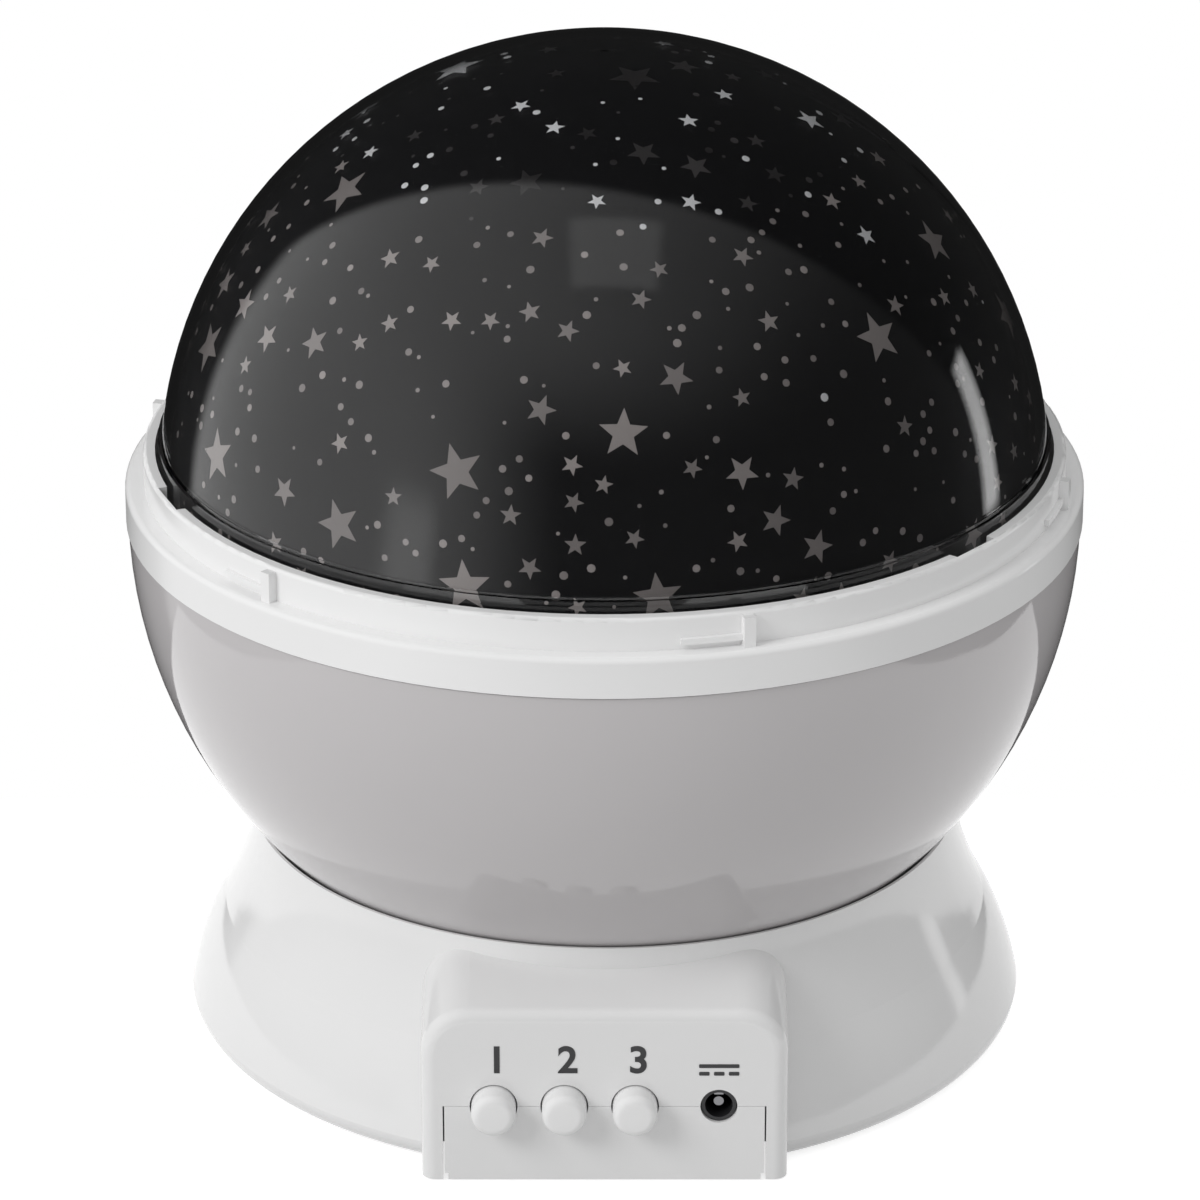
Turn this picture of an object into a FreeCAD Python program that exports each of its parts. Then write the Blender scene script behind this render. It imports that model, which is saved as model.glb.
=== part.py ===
# Star projector: a bowl with a star dome turns on a base that holds the cells, the motor and the controls.
# Millimetres. The spin axis is Z, the origin is on it at the floor, and the buttons face -Y.
import FreeCAD, Part
import math
import os
import re
import Sketcher
from fcgear import fcgear
from fcgear import involute

DOC = FreeCAD.newDocument("StarProjector")
PARTS = []

# Driving sizes. Each can be changed by itself.
SIZES = {
    # dome
    "dome_r": 59.4,
    "dome_wall": 1.3,
    "dome_sit": 2.5,
    "skirt_step": 0.05,
    "skirt_show": 1.5,
    "film_wall": 0.4,
    "film_gap": 0.05,
    "film_hem": 2.0,
    "lug_depth": 1.2,
    "lug_height": 1.4,
    "lug_width": 7.0,
    "lug_gap": 0.35,
    "lug_turn": 14.0,
    # collar ring
    "dome_gap": 0.45,
    "collar_wall": 1.6,
    "collar_height": 4.4,
    "ledge_thick": 1.5,
    "band_drop": 3.8,
    "band_wall": 1.55,
    "band_gap": 0.15,
    "ring_proud": 0.3,
    "ring_round": 0.8,
    "lip_round": 0.5,
    "stop_count": 6.0,
    "stop_angle": -73.2,
    "stop_width": 1.5,
    "stop_proud": 1.3,
    "stop_below_lip": 0.4,
    "ramp_span": 8.0,
    "ramp_proud": 0.6,
    "ramp_z": 0.8,
    "ramp_height": 0.8,
    "notch_count": 3.0,
    "notch_angle": -39.0,
    "notch_margin": 0.5,
    "notch_wall": 0.55,
    # bowl
    "rim_wall": 1.3,
    "rim_ledge": 2.6,
    "rim_ledge_thick": 1.5,
    "seat_gap": 0.2,
    "bowl_wall": 2.0,
    "bowl_depth": 47.0,
    "bowl_step": 0.2,
    "floor_wall": 2.0,
    # base shell
    "rim_z": 0.3,
    "deck_top": 23.5,
    "deck_wall": 2.0,
    "shell_wall": 2.0,
    "bowl_clear": 0.25,
    "neck_rise": 5.7,
    "neck_lip": 0.4,
    "neck_round": 44.0,
    "waist_z": 15.5,
    "waist_out": 4.2,
    "bulge_z": 3.0,
    "bulge_out": 9.1,
    "foot_out": 7.25,
    "flank_round": 40.0,
    "foot_round": 2.9,
    "hood_out": 9.1,
    "hood_half": 23.75,
    "hood_top": 24.35,
    "hood_rise": 3.4,
    "hood_round": 6.3,
    "hood_edge": 1.75,
    "hood_depth": 13.8,
    "hood_cave_depth": 10.7,
    "split_z": 11.0,
    "flap_half": 20.75,
    "flap_gap": 0.2,
    "split_gap": 0.05,
    "slit_notch": 0.9,
    # bearing
    "washer_thick": 1.4,
    "washer_gap": 0.1,
    "washer_width": 6.0,
    "journal_r": 13.5,
    "journal_fit": 0.08,
    "hub_bore": 9.5,
    # gears
    "module_size": 0.5,
    "pressure": 25.0,
    "tooth_tip": 0.9,
    "tooth_root": 1.2,
    "mesh_gap": 0.1,
    "bowl_teeth": 66.0,
    "wheel_teeth": 40.0,
    "pinion_teeth": 12.0,
    "gear_width": 2.0,
    "gear_space": 0.35,
    "deck_space": 0.4,
    "axle_r": 0.8,
    "axle_fit": 0.06,
    "axle_proud": 0.2,
    "last_angle": -80.0,
    # motor and its plate
    "motor_r": 12.2,
    "motor_height": 8.7,
    "motor_board_gap": 5.7,
    "motor_reach": 24.97,
    "motor_cap": 0.8,
    "motor_tap": 2.2,
    "motor_screw_inset": 3.7,
    "tab_first": 1.0,
    "tab_pitch": 4.0,
    "tab_count": 2.0,
    "tab_width": 1.2,
    "tab_height": 2.0,
    "tab_out": 1.6,
    "motor_boss_r": 3.0,
    "motor_boss_h": 0.8,
    "shaft_r": 1.0,
    "plate_thick": 1.4,
    "plate_rim": 4.0,
    "plate_rim_wide": 5.0,
    "plate_inset": 1.2,
    "screw_a_space": 4.9,
    "screw_a_angle": 125.4,
    "screw_b_space": 3.25,
    "screw_b_angle": -40.3,
    "screw_c_space": 1.7,
    "screw_c_angle": -55.3,
    # bottom cover, cells and door
    "cover_z": 1.2,
    "cover_thick": 2.4,
    "cover_gap": 0.4,
    "door_thick": 1.5,
    "door_gap": 0.3,
    "door_lap": 2.2,
    "door_rest": 0.1,
    "hinge_pin_r": 0.5,
    "hinge_pin_reach": 0.8,
    "hinge_pin_gap": 0.1,
    "grip_count": 6.0,
    "grip_first": 8.0,
    "grip_pitch": 3.0,
    "grip_width": 1.2,
    "grip_half": 9.0,
    "grip_depth": 0.5,
    "latch_half": 6.6,
    "latch_slit": 1.0,
    "latch_length": 9.0,
    "scoop_half": 4.5,
    "scoop_start": 4.0,
    "scoop_end": 1.6,
    "scoop_depth": 0.7,
    "cell_r": 5.25,
    "cell_length": 44.5,
    "cell_nub_r": 1.9,
    "cell_nub_h": 0.8,
    "cell_space": 0.3,
    "cell_count": 4.0,
    "bay_front": -2.2,
    "bay_spare": 4.5,
    "bay_wall": 1.3,
    "contact_thick": 0.4,
    "contact_height": 8.0,
    "contact_width": 8.0,
    "foot_pad_r": 4.0,
    "foot_pad_thick": 1.7,
    "pad_inset": 6.4,
    "pad_door_gap": 1.6,
    "pad_seat_gap": 0.1,
    "tongue_root": 6.0,
    "socket_wall": 1.0,
    "socket_drop": 1.2,
    # controls
    "button_r": 2.9,
    "button_gap": 0.2,
    "button_proud": 3.4,
    "button_dome": 0.6,
    "button_pitch": 9.15,
    "button_first": -14.35,
    "button_count": 3.0,
    "button_travel": 1.5,
    "flange_r": 3.7,
    "flange_thick": 1.0,
    "flange_gap": 0.3,
    "switch_side": 6.0,
    "switch_depth": 3.5,
    "plunger_r": 1.7,
    "plunger_gap": 0.1,
    "plunger_rest": 0.5,
    "board_thick": 1.6,
    "board_side_gap": 0.45,
    "board_low": 4.0,
    "board_high": 19.5,
    "board_behind": 7.2,
    "rail_width": 0.9,
    "rail_gap": 0.1,
    "rail_lap": 1.0,
    "chip_width": 6.0,
    "chip_height": 4.0,
    "chip_thick": 1.5,
    "jack_x": 14.8,
    "jack_side": 6.4,
    "jack_snout_r": 2.25,
    "jack_hole_gap": 0.15,
    "jack_bore_r": 1.8,
    "jack_pin_r": 0.65,
    "jack_recess": 0.4,
    "jack_back": 1.3,
    "jack_front_gap": 0.2,
    "jack_pin_recess": 1.5,
    "jack_spring_recess": 1.0,
    "jack_spring_width": 1.2,
    "jack_spring_gap": 0.25,
    "jack_spring_thick": 0.35,
    # light post
    "post_r": 7.5,
    "post_wall": 2.0,
    "post_height": 44.8,
    "post_foot_thick": 1.3,
    "post_foot_half": 14.0,
    "post_foot_front": 9.0,
    "post_flange_r": 11.0,
    "post_flange_thick": 1.5,
    "lamp_board_r": 12.0,
    "lamp_board_thick": 1.6,
    "lamp_r": 2.5,
    "lamp_flange_r": 2.9,
    "lamp_flange_h": 1.0,
    "lamp_height": 8.6,
    "lamp_at": 6.0,
    "lamp_count": 4.0,
    # wires
    "lamp_wire_r": 0.9,
    "lead_r": 0.6,
    "lead_gap": 0.05,
    "lead_way_gap": 0.15,
    "lead_reach": 12.0,
    "lead_long_reach": 14.0,
    "lead_turn": 10.0,
    "lead_close_turn": 5.5,
    "lead_slant": 2.0,
    "lead_past_jack": 2.0,
    "lead_x": 4.0,
    "lead_board_x": 4.6,
    "cable_x": 8.0,
    "cable_turn_x": 5.0,
    "cable_reach": 12.0,
    "cable_under_plate": 5.0,
    "cable_past_pin": 3.5,
    "cable_rise": 7.5,
    # screws
    "boss_r": 3.2,
    "boss_inset": 7.3,
    "boss_angle": 30.0,
    "cover_screw_r": 1.2,
    "cover_head_r": 2.6,
    "cover_head_h": 1.4,
    "cover_screw_length": 9.0,
    "small_screw_r": 0.9,
    "small_head_r": 1.9,
    "small_head_h": 1.2,
    "small_screw_length": 5.0,
    "small_boss_r": 2.8,
    "hub_boss_r": 2.2,
    "hub_screw_count": 3.0,
    "screw_spare": 1.0,
    "pilot_spare": 0.6,
    "post_screw_tip": 1.6,
    "post_screw_space": 1.1,
    "head_seat_gap": 0.1,
    "screw_gap": 0.2,
    "cross_width": 0.7,
    # how far a cut runs past the face that it opens
    "overcut": 1.0,
}

# Sizes that follow from the driving ones.
LAYOUT = {
    "skirt_r": "dome_r + skirt_step",
    "dome_in": "dome_r - dome_wall",
    "skirt_in": "skirt_r - dome_wall",
    "film_r": "dome_in - film_gap",
    "film_in": "film_r - film_wall",
    "collar_bore": "skirt_r + dome_gap",
    "collar_r": "collar_bore + collar_wall",
    "lug_r": "skirt_r + lug_depth",
    "rim_in": "lug_r + lug_gap",
    "rim_r": "rim_in + rim_wall",
    "band_in": "rim_r + band_gap",
    "ring_r": "band_in + band_wall",
    "bowl_r": "ring_r - ring_proud",
    "bowl_in": "bowl_r - bowl_wall",
    "floor_under": "deck_top + washer_thick + washer_gap",
    "floor_top": "floor_under + floor_wall",
    "bowl_z": "floor_under + bowl_depth",
    "bowl_top": "bowl_z - 2 * bowl_step",
    "band_z": "bowl_top + bowl_step",
    "ledge_under": "band_z + band_drop",
    "ledge_top": "ledge_under + ledge_thick",
    "lip_top": "ledge_top + collar_height",
    "lug_top": "ledge_under - lug_gap",
    "skirt_z": "lug_top - lug_height",
    "dome_z": "skirt_z + dome_sit",
    "skirt_top": "lip_top + skirt_show",
    "dome_foot_r": "sqrt(dome_r ^ 2 - (skirt_top - dome_z) ^ 2)",
    "dome_in_foot_r": "sqrt(dome_in ^ 2 - (skirt_top - dome_z) ^ 2)",
    "dome_crown": "dome_z + dome_r",
    "dome_in_crown": "dome_z + dome_in",
    "film_z": "skirt_z + film_hem",
    "film_foot_r": "sqrt(film_r ^ 2 - (film_z - dome_z) ^ 2)",
    "film_in_foot_r": "sqrt(film_in ^ 2 - (film_z - dome_z) ^ 2)",
    "film_crown": "dome_z + film_r",
    "film_in_crown": "dome_z + film_in",
    "lug_half": "lug_width / 2",
    "lug_root": "skirt_r - dome_wall / 2",
    "lug_angle": "notch_angle - lug_turn",
    "lip_round_r": "collar_r - lip_round",
    "lip_round_z": "lip_top - lip_round",
    "ring_round_r": "ring_r - ring_round",
    "ring_round_z": "ledge_top - ring_round",
    "stop_half": "stop_width / 2",
    "stop_root": "collar_r - collar_wall / 2",
    "stop_r": "collar_r + stop_proud",
    "stop_height": "collar_height - stop_below_lip",
    "ramp_r": "collar_r + ramp_proud",
    "ramp_low": "ledge_top + ramp_z",
    "ramp_start": "stop_angle - ramp_span",
    "notch_half": "lug_half + notch_margin",
    "notch_r": "collar_r - notch_wall",
    "notch_inner": "collar_bore - overcut",
    "floor_r": "sqrt(bowl_r ^ 2 - bowl_depth ^ 2)",
    "floor_in_r": "sqrt(bowl_in ^ 2 - (bowl_z - floor_top) ^ 2)",
    "bowl_top_r": "sqrt(bowl_r ^ 2 - (bowl_z - bowl_top) ^ 2)",
    "rim_seat": "skirt_z - seat_gap",
    "rim_seat_low": "rim_seat - rim_ledge_thick",
    "rim_seat_r": "rim_in - rim_ledge",
    "bowl_in_low": "rim_seat_low - rim_ledge",
    "bowl_in_low_r": "sqrt(bowl_in ^ 2 - (bowl_z - bowl_in_low) ^ 2)",
    "neck_z": "deck_top + neck_rise",
    "recess_r": "bowl_r + bowl_clear",
    "neck_in": "sqrt(recess_r ^ 2 - (bowl_z - neck_z) ^ 2)",
    "neck_r": "neck_in + neck_lip",
    "waist_r": "neck_r + waist_out",
    "bulge_r": "neck_r + bulge_out",
    "foot_r": "neck_r + foot_out",
    "deck_under": "deck_top - deck_wall",
    "cave_foot_r": "foot_r - shell_wall",
    "cave_bulge_r": "bulge_r - shell_wall",
    "cave_waist_r": "waist_r - shell_wall",
    "cave_neck_z": "deck_under + 1.3 * deck_wall",
    "cave_neck_lean": "(neck_r - waist_r) / (neck_z - waist_z)",
    "cave_neck_r": "waist_r + (cave_neck_z - waist_z) * cave_neck_lean - 1.3 * shell_wall",
    "cave_deck_r": "cave_neck_r - 3 * shell_wall",
    "cave_low": "rim_z - shell_wall",
    "hood_y": "neck_r + hood_out",
    "hood_in_y": "hood_y - shell_wall",
    "hood_in_half": "hood_half - shell_wall",
    "hood_in_top": "hood_top - shell_wall",
    "hood_in_round": "hood_round - shell_wall",
    "hood_low": "rim_z - hood_rise",
    "hood_shoulder_half": "hood_half - hood_round",
    "hood_shoulder_z": "hood_top - hood_round",
    "cave_shoulder_half": "hood_in_half - hood_in_round",
    "cave_shoulder_z": "hood_in_top - hood_in_round",
    "slit_half": "flap_half + flap_gap",
    "journal_hole": "journal_r + journal_fit",
    "washer_in": "journal_hole + washer_gap",
    "washer_r": "washer_in + washer_width",
    "gear_top": "deck_under - deck_space",
    "gear_low": "gear_top - gear_width",
    "layer_two": "gear_low - gear_space - gear_width",
    "layer_one": "layer_two - gear_space - gear_width",
    "plate_top": "layer_one - gear_space",
    "plate_low": "plate_top - plate_thick",
    "motor_low": "plate_low - motor_height",
    "motor_bore": "shaft_r + axle_fit",
    "last_distance": "(bowl_teeth + pinion_teeth) * module_size / 2 + mesh_gap",
    "step_distance": "(wheel_teeth + pinion_teeth) * module_size / 2 + mesh_gap",
    "last_x": "last_distance * cos(last_angle)",
    "last_y": "last_distance * sin(last_angle)",
    "motor_y": "motor_r + motor_board_gap - board_back_y",
    "drive_dy": "last_y - motor_y",
    "drive_dx": "sqrt(motor_reach ^ 2 - drive_dy ^ 2)",
    "motor_x": "last_x - drive_dx",
    "drive_rise": "sqrt(step_distance ^ 2 - (motor_reach / 2) ^ 2)",
    "middle_x": "(motor_x + last_x) / 2 + drive_rise * drive_dy / motor_reach",
    "middle_y": "(motor_y + last_y) / 2 - drive_rise * drive_dx / motor_reach",
    "wheel_r": "(wheel_teeth / 2 + tooth_tip) * module_size",
    "motor_screw_reach": "motor_r - motor_screw_inset",
    "screw_a_reach": "motor_r + small_head_r + screw_a_space",
    "screw_a_x": "motor_x + screw_a_reach * cos(screw_a_angle)",
    "screw_a_y": "motor_y + screw_a_reach * sin(screw_a_angle)",
    "screw_b_reach": "wheel_r + small_boss_r + screw_b_space",
    "screw_b_x": "last_x + screw_b_reach * cos(screw_b_angle)",
    "screw_b_y": "last_y + screw_b_reach * sin(screw_b_angle)",
    "screw_c_reach": "motor_r + small_head_r + screw_c_space",
    "screw_c_x": "motor_x + screw_c_reach * cos(screw_c_angle)",
    "screw_c_y": "motor_y + screw_c_reach * sin(screw_c_angle)",
    "axle_bore": "axle_r + axle_fit",
    "cover_top": "cover_z + cover_thick",
    "cover_r": "cave_foot_r - cover_gap",
    "boss_at": "cave_waist_r - boss_inset",
    "boss_at_x": "boss_at * cos(boss_angle)",
    "boss_at_y": "boss_at * sin(boss_angle)",
    "pad_x": "door_half + pad_door_gap + foot_pad_r",
    "pad_y": "sqrt((cover_r - pad_inset) ^ 2 - pad_x ^ 2)",
    "pad_seat_r": "foot_pad_r + pad_seat_gap",
    "head_under": "cover_z + cover_head_h + head_seat_gap",
    "hub_screw_at": "(hub_bore + journal_r) / 2",
    "small_pilot": "small_screw_length - screw_spare + pilot_spare",
    "screw_way_r": "small_screw_r + screw_gap",
    "cell_pitch": "2 * cell_r + cell_space",
    "bay_half": "(cell_length + bay_spare) / 2",
    "bay_back": "bay_front + cell_count * cell_pitch",
    "bay_out_half": "bay_half + bay_wall",
    "bay_top": "cell_z + cell_r + cell_space",
    "bay_roof": "bay_top + bay_wall",
    "cell_z": "door_top + door_rest + door_gap + cell_r",
    "door_top": "cover_z + door_thick",
    "hinge_y": "door_front + door_thick / 2",
    "hinge_z": "cover_z + door_thick / 2",
    "hinge_pin_end": "door_half + door_gap + hinge_pin_reach",
    "door_half": "bay_half + door_lap",
    "door_front": "bay_front - door_lap",
    "door_back": "bay_back + door_lap",
    "button_hole": "button_r + button_gap",
    "button_face": "hood_y + button_proud",
    "flange_y": "hood_in_y - flange_gap",
    "board_y": "hood_in_y - board_behind",
    "board_half": "hood_in_half - board_side_gap",
    "board_back_y": "board_y - board_thick",
    "switch_front_y": "board_y + switch_depth",
    "plunger_front_y": "flange_y - flange_thick",
    "plunger_back_y": "board_y + button_travel + plunger_rest",
    "jack_front_y": "hood_in_y - jack_front_gap",
    "jack_hole_r": "jack_snout_r + jack_hole_gap",
    "post_in": "post_r - post_wall",
    "post_top": "bay_roof + post_height",
    "post_foot_back": "valley_y + 2 * small_head_r",
    "valley_y": "bay_front + cell_pitch",
    "post_screw_x": "post_r + small_head_r + post_screw_space",
    "lamp_board_top": "post_top + lamp_board_thick",
}

def filled_sheet(name, rows):
    """A sheet with one alias on each row."""
    sheet = DOC.addObject("Spreadsheet::Sheet", name)
    for row, (alias, content) in enumerate(rows.items(), 1):
        sheet.set(f"A{row}", alias)
        sheet.set(f"B{row}", content)
        sheet.setAlias(f"B{row}", alias)
    DOC.recompute()
    return sheet


def cell(name):
    """The expression for a size, with its sign kept."""
    sign = "-" if name.startswith("-") else ""
    word = name.lstrip("-")
    return f"{sign}{'Sizes' if word in SIZES else 'Layout'}.{word}"


def full(formula):
    """A formula in which each size is named with its sheet."""
    known = lambda word: cell(word[0]) if word[0] in SIZES or word[0] in LAYOUT else word[0]
    return re.sub(r"[a-z_]+", known, formula)


def own(formula):
    """A layout formula: only the driving sizes need their sheet's name."""
    named = lambda word: f"Sizes.{word[0]}" if word[0] in SIZES else word[0]
    return re.sub(r"[a-z_]+", named, formula)


SIZE_SHEET = filled_sheet("Sizes", {name: str(value) for name, value in SIZES.items()})
LAYOUT_SHEET = filled_sheet("Layout", {name: "=" + own(formula) for name, formula in LAYOUT.items()})


def value(name):
    """The number that a size has now."""
    sign = -1.0 if name.startswith("-") else 1.0
    word = name.lstrip("-")
    sheet = SIZE_SHEET if word in SIZES else LAYOUT_SHEET
    return sign * float(sheet.get(word))


def bind(thing, **formulas):
    """Ties properties to formulas of the sizes. place_x, place_y, place_z and turn_z set the placement."""
    paths = {
        "place_x": "Placement.Base.x",
        "place_y": "Placement.Base.y",
        "place_z": "Placement.Base.z",
        "turn_z": "Placement.Rotation.Angle",
    }
    for name, formula in formulas.items():
        thing.setExpression(paths.get(name, name), full(str(formula)))
    return thing


def origin_plane(body, role):
    return next(f for f in body.Origin.OriginFeatures if f.Role == role)


def new_body(name):
    body = DOC.addObject("PartDesign::Body", name)
    body.Label = name
    return body


def new_sketch(body, name, role, offset=None, turn=None):
    """A sketch on one of the body's own planes, moved along its normal and turned about it."""
    sketch = body.newObject("Sketcher::SketchObject", name)
    sketch.AttachmentSupport = [(origin_plane(body, role), "")]
    sketch.MapMode = "FlatFace"
    if turn is not None:
        turned = FreeCAD.Rotation(FreeCAD.Vector(0, 0, 1), value(turn))
        sketch.AttachmentOffset = FreeCAD.Placement(FreeCAD.Vector(), turned)
        sketch.setExpression("AttachmentOffset.Rotation.Angle", cell(turn))
    if offset is not None:
        sketch.setExpression("AttachmentOffset.Base.z", cell(offset))
    return sketch


def fix_point(sketch, edge, end, x, y):
    """Holds a point at two sizes from the sketch's origin, or on its axis where a size is 0."""
    for kind, name, axis in (("DistanceX", x, -2), ("DistanceY", y, -1)):
        if name == "0":
            sketch.addConstraint(Sketcher.Constraint("PointOnObject", edge, end, axis))
        else:
            held = Sketcher.Constraint(kind, -1, 1, edge, end, value(name))
            number = sketch.addConstraint(held)
            sketch.setExpression(f"Constraints[{number}]", cell(name))


def draw_outline(sketch, corners):
    """A closed outline. A corner is (x, y), or (x, y, radius) where an arc leaves it; -radius bends right."""
    number_of = lambda name: 0.0 if name == "0" else value(name)
    spots = [FreeCAD.Vector(number_of(corner[0]), number_of(corner[1]), 0) for corner in corners]
    ends = []
    for number, corner in enumerate(corners):
        start, stop = spots[number], spots[(number + 1) % len(spots)]
        if len(corner) == 2:
            edge = sketch.addGeometry(Part.LineSegment(start, stop), False)
            ends.append((edge, 1, 2))
            continue
        radius = value(corner[2])
        chord = stop - start
        half = chord.Length / 2
        side = FreeCAD.Vector(-chord.y, chord.x, 0).normalize() * math.copysign(1, radius)
        rise = abs(radius) - math.sqrt(radius * radius - half * half)
        middle = (start + stop) / 2 - side * rise
        edge = sketch.addGeometry(Part.Arc(start, middle, stop), False)
        forward = sketch.getPoint(edge, 1).isEqual(start, 1e-6)
        ends.append((edge, 1, 2) if forward else (edge, 2, 1))
        held = sketch.addConstraint(Sketcher.Constraint("Radius", edge, abs(radius)))
        sketch.setExpression(f"Constraints[{held}]", cell(corner[2].lstrip("-")))
    for number, corner in enumerate(corners):
        edge, start_end, _ = ends[number]
        before, _, stop_end = ends[number - 1]
        sketch.addConstraint(Sketcher.Constraint("Coincident", before, stop_end, edge, start_end))
        fix_point(sketch, edge, start_end, corner[0], corner[1])
    return sketch


def revolved(body, corners, name="profile"):
    """Turns an outline in the XZ plane about Z."""
    sketch = draw_outline(new_sketch(body, f"{body.Name}_{name}", "XZ_Plane"), corners)
    turn = body.newObject("PartDesign::Revolution", f"{body.Name}_{name}_turn")
    turn.Profile = sketch
    turn.ReferenceAxis = (sketch, ["V_Axis"])
    turn.Angle = 360
    return turn


def padded(body, corners, length, role="XY_Plane", offset=None, turn=None, name="outline", back=False):
    """Raises an outline from one of the body's planes."""
    sketch = draw_outline(new_sketch(body, f"{body.Name}_{name}", role, offset, turn), corners)
    pad = body.newObject("PartDesign::Pad", f"{body.Name}_{name}_pad")
    pad.Profile = sketch
    pad.Reversed = back
    bind(pad, Length=length)
    return pad


def patterned(body, features, count, name):
    """Repeats features evenly about Z."""
    pattern = body.newObject("PartDesign::PolarPattern", f"{body.Name}_{name}")
    pattern.Originals = features
    pattern.Axis = (origin_plane(body, "Z_Axis"), [""])
    pattern.Angle = 360
    bind(pattern, Occurrences=count)
    body.Tip = pattern
    return pattern


def rectangle(x_low, x_high, y_low, y_high):
    return [(x_low, y_low), (x_high, y_low), (x_high, y_high), (x_low, y_high)]


def rod(name, radius, length, x="0", y="0", z="0", along="z"):
    """A cylinder that starts at (x, y, z) and runs along +Z or, where asked, another axis."""
    body = DOC.addObject("Part::Cylinder", name)
    turns = {
        "z": FreeCAD.Rotation(),
        "x": FreeCAD.Rotation(FreeCAD.Vector(0, 1, 0), 90),
        "y": FreeCAD.Rotation(FreeCAD.Vector(1, 0, 0), -90),
    }
    body.Placement.Rotation = turns[along]
    return bind(body, Radius=radius, Height=length, place_x=x, place_y=y, place_z=z)


def block(name, x, y, z):
    """A box between pairs of formulas along each axis."""
    body = DOC.addObject("Part::Box", name)
    sizes = {"Length": x, "Width": y, "Height": z}
    bind(body, **{side: f"({high}) - ({low})" for side, (low, high) in sizes.items()})
    return bind(body, place_x=x[0], place_y=y[0], place_z=z[0])


def fused(name, bodies):
    whole = DOC.addObject("Part::MultiFuse", name)
    whole.Shapes = bodies
    whole.Refine = True
    return whole


def cut(name, base, tools):
    tool = tools[0] if len(tools) == 1 else fused(f"{name}_tools", tools)
    left = DOC.addObject("Part::Cut", name)
    left.Base = base
    left.Tool = tool
    left.Refine = True
    return left


def group(name, bodies):
    """Like pieces that share a node, kept as separate solids."""
    whole = DOC.addObject("Part::Compound", name)
    whole.Links = bodies
    return whole


def keep(thing, name):
    """Gives a finished piece the name of its file."""
    thing.Label = name
    PARTS.append(thing)
    return thing


def screws(name, spots, head, shank, z, upward=True):
    """Like screws in one node: a round head with a cross recess and a plain shank. z is under the head."""
    head_r, head_h = head
    shank_r, length = shank
    made = []
    for number, (x, y) in enumerate(spots):
        label = f"{name}_{number}"
        head_z = f"{z} - {head_h}" if upward else z
        shank_z = z if upward else f"{z} - ({length})"
        recess_z = (f"{z} - 1.1 * {head_h}", f"{z} - 0.4 * {head_h}")
        if not upward:
            recess_z = (f"{z} + 0.4 * {head_h}", f"{z} + 1.1 * {head_h}")
        slots = [
            block(f"{label}_slot_a", (f"{x} - 0.6 * {head_r}", f"{x} + 0.6 * {head_r}"),
                  (f"{y} - cross_width / 2", f"{y} + cross_width / 2"), recess_z),
            block(f"{label}_slot_b", (f"{x} - cross_width / 2", f"{x} + cross_width / 2"),
                  (f"{y} - 0.6 * {head_r}", f"{y} + 0.6 * {head_r}"), recess_z),
        ]
        whole = fused(f"{label}_blank", [
            rod(f"{label}_head", head_r, head_h, x, y, head_z),
            rod(f"{label}_shank", shank_r, length, x, y, shank_z),
        ])
        made.append(cut(label, whole, slots))
    keep(group(f"{name}_group", made), name)


# Dome: a clear moulded shell over a printed film, with three lugs that turn under the collar.
def make_dome():
    shell = new_body("dome_moulding")
    revolved(shell, [
        ("skirt_in", "skirt_z"),
        ("skirt_r", "skirt_z"),
        ("skirt_r", "skirt_top"),
        ("dome_foot_r", "skirt_top", "dome_r"),
        ("0", "dome_crown"),
        ("0", "dome_in_crown", "-dome_in"),
        ("dome_in_foot_r", "skirt_top"),
        ("skirt_in", "skirt_top"),
    ])
    DOC.recompute()
    lug = padded(shell, rectangle("lug_root", "lug_r", "-lug_half", "lug_half"), "lug_height",
                 offset="skirt_z", turn="lug_angle", name="lug")
    patterned(shell, [lug], "notch_count", "lugs")
    keep(shell, "dome_shell")

    film = new_body("film_dome")
    revolved(film, [
        ("film_in_foot_r", "film_z"),
        ("film_foot_r", "film_z", "film_r"),
        ("0", "film_crown"),
        ("0", "film_in_crown", "-film_in"),
    ])
    keep(film, "star_film")


# Collar ring: caps the bowl's rim, holds the dome in and has the stops for an outer cover.
def make_ring():
    ring = new_body("ring_moulding")
    revolved(ring, [
        ("band_in", "band_z"),
        ("ring_r", "band_z"),
        ("ring_r", "ring_round_z", "ring_round"),
        ("ring_round_r", "ledge_top"),
        ("collar_r", "ledge_top"),
        ("collar_r", "lip_round_z", "lip_round"),
        ("lip_round_r", "lip_top"),
        ("collar_bore", "lip_top"),
        ("collar_bore", "ledge_under"),
        ("band_in", "ledge_under"),
    ])
    DOC.recompute()
    stop = padded(ring, rectangle("stop_root", "stop_r", "-stop_half", "stop_half"), "stop_height",
                  offset="ledge_top", turn="stop_angle", name="stop")
    patterned(ring, [stop], "stop_count", "stops")
    DOC.recompute()
    sketch = draw_outline(
        new_sketch(ring, "notch_outline", "XY_Plane", "lip_top", "notch_angle"),
        rectangle("notch_inner", "notch_r", "-notch_half", "notch_half"),
    )
    notch = ring.newObject("PartDesign::Pocket", "notch")
    notch.Profile = sketch
    bind(notch, Length="lip_top - ledge_under")
    patterned(ring, [notch], "notch_count", "notches")

    ramps = []
    for number in range(round(value("stop_count"))):
        sector = DOC.addObject("Part::Cylinder", f"ramp_sector_{number}")
        bind(sector, Radius="ramp_r", Height="ramp_height", Angle="ramp_span", place_z="ramp_low")
        sector.Placement.Rotation = FreeCAD.Rotation(FreeCAD.Vector(0, 0, 1), 0)
        bind(sector, turn_z=f"ramp_start + {number} * 360 / stop_count")
        hollow = rod(f"ramp_hollow_{number}", "stop_root", "lip_top")
        ramps.append(cut(f"ramp_{number}", sector, [hollow]))
    keep(fused("collar_ring_whole", [ring] + ramps), "collar_ring")


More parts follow.
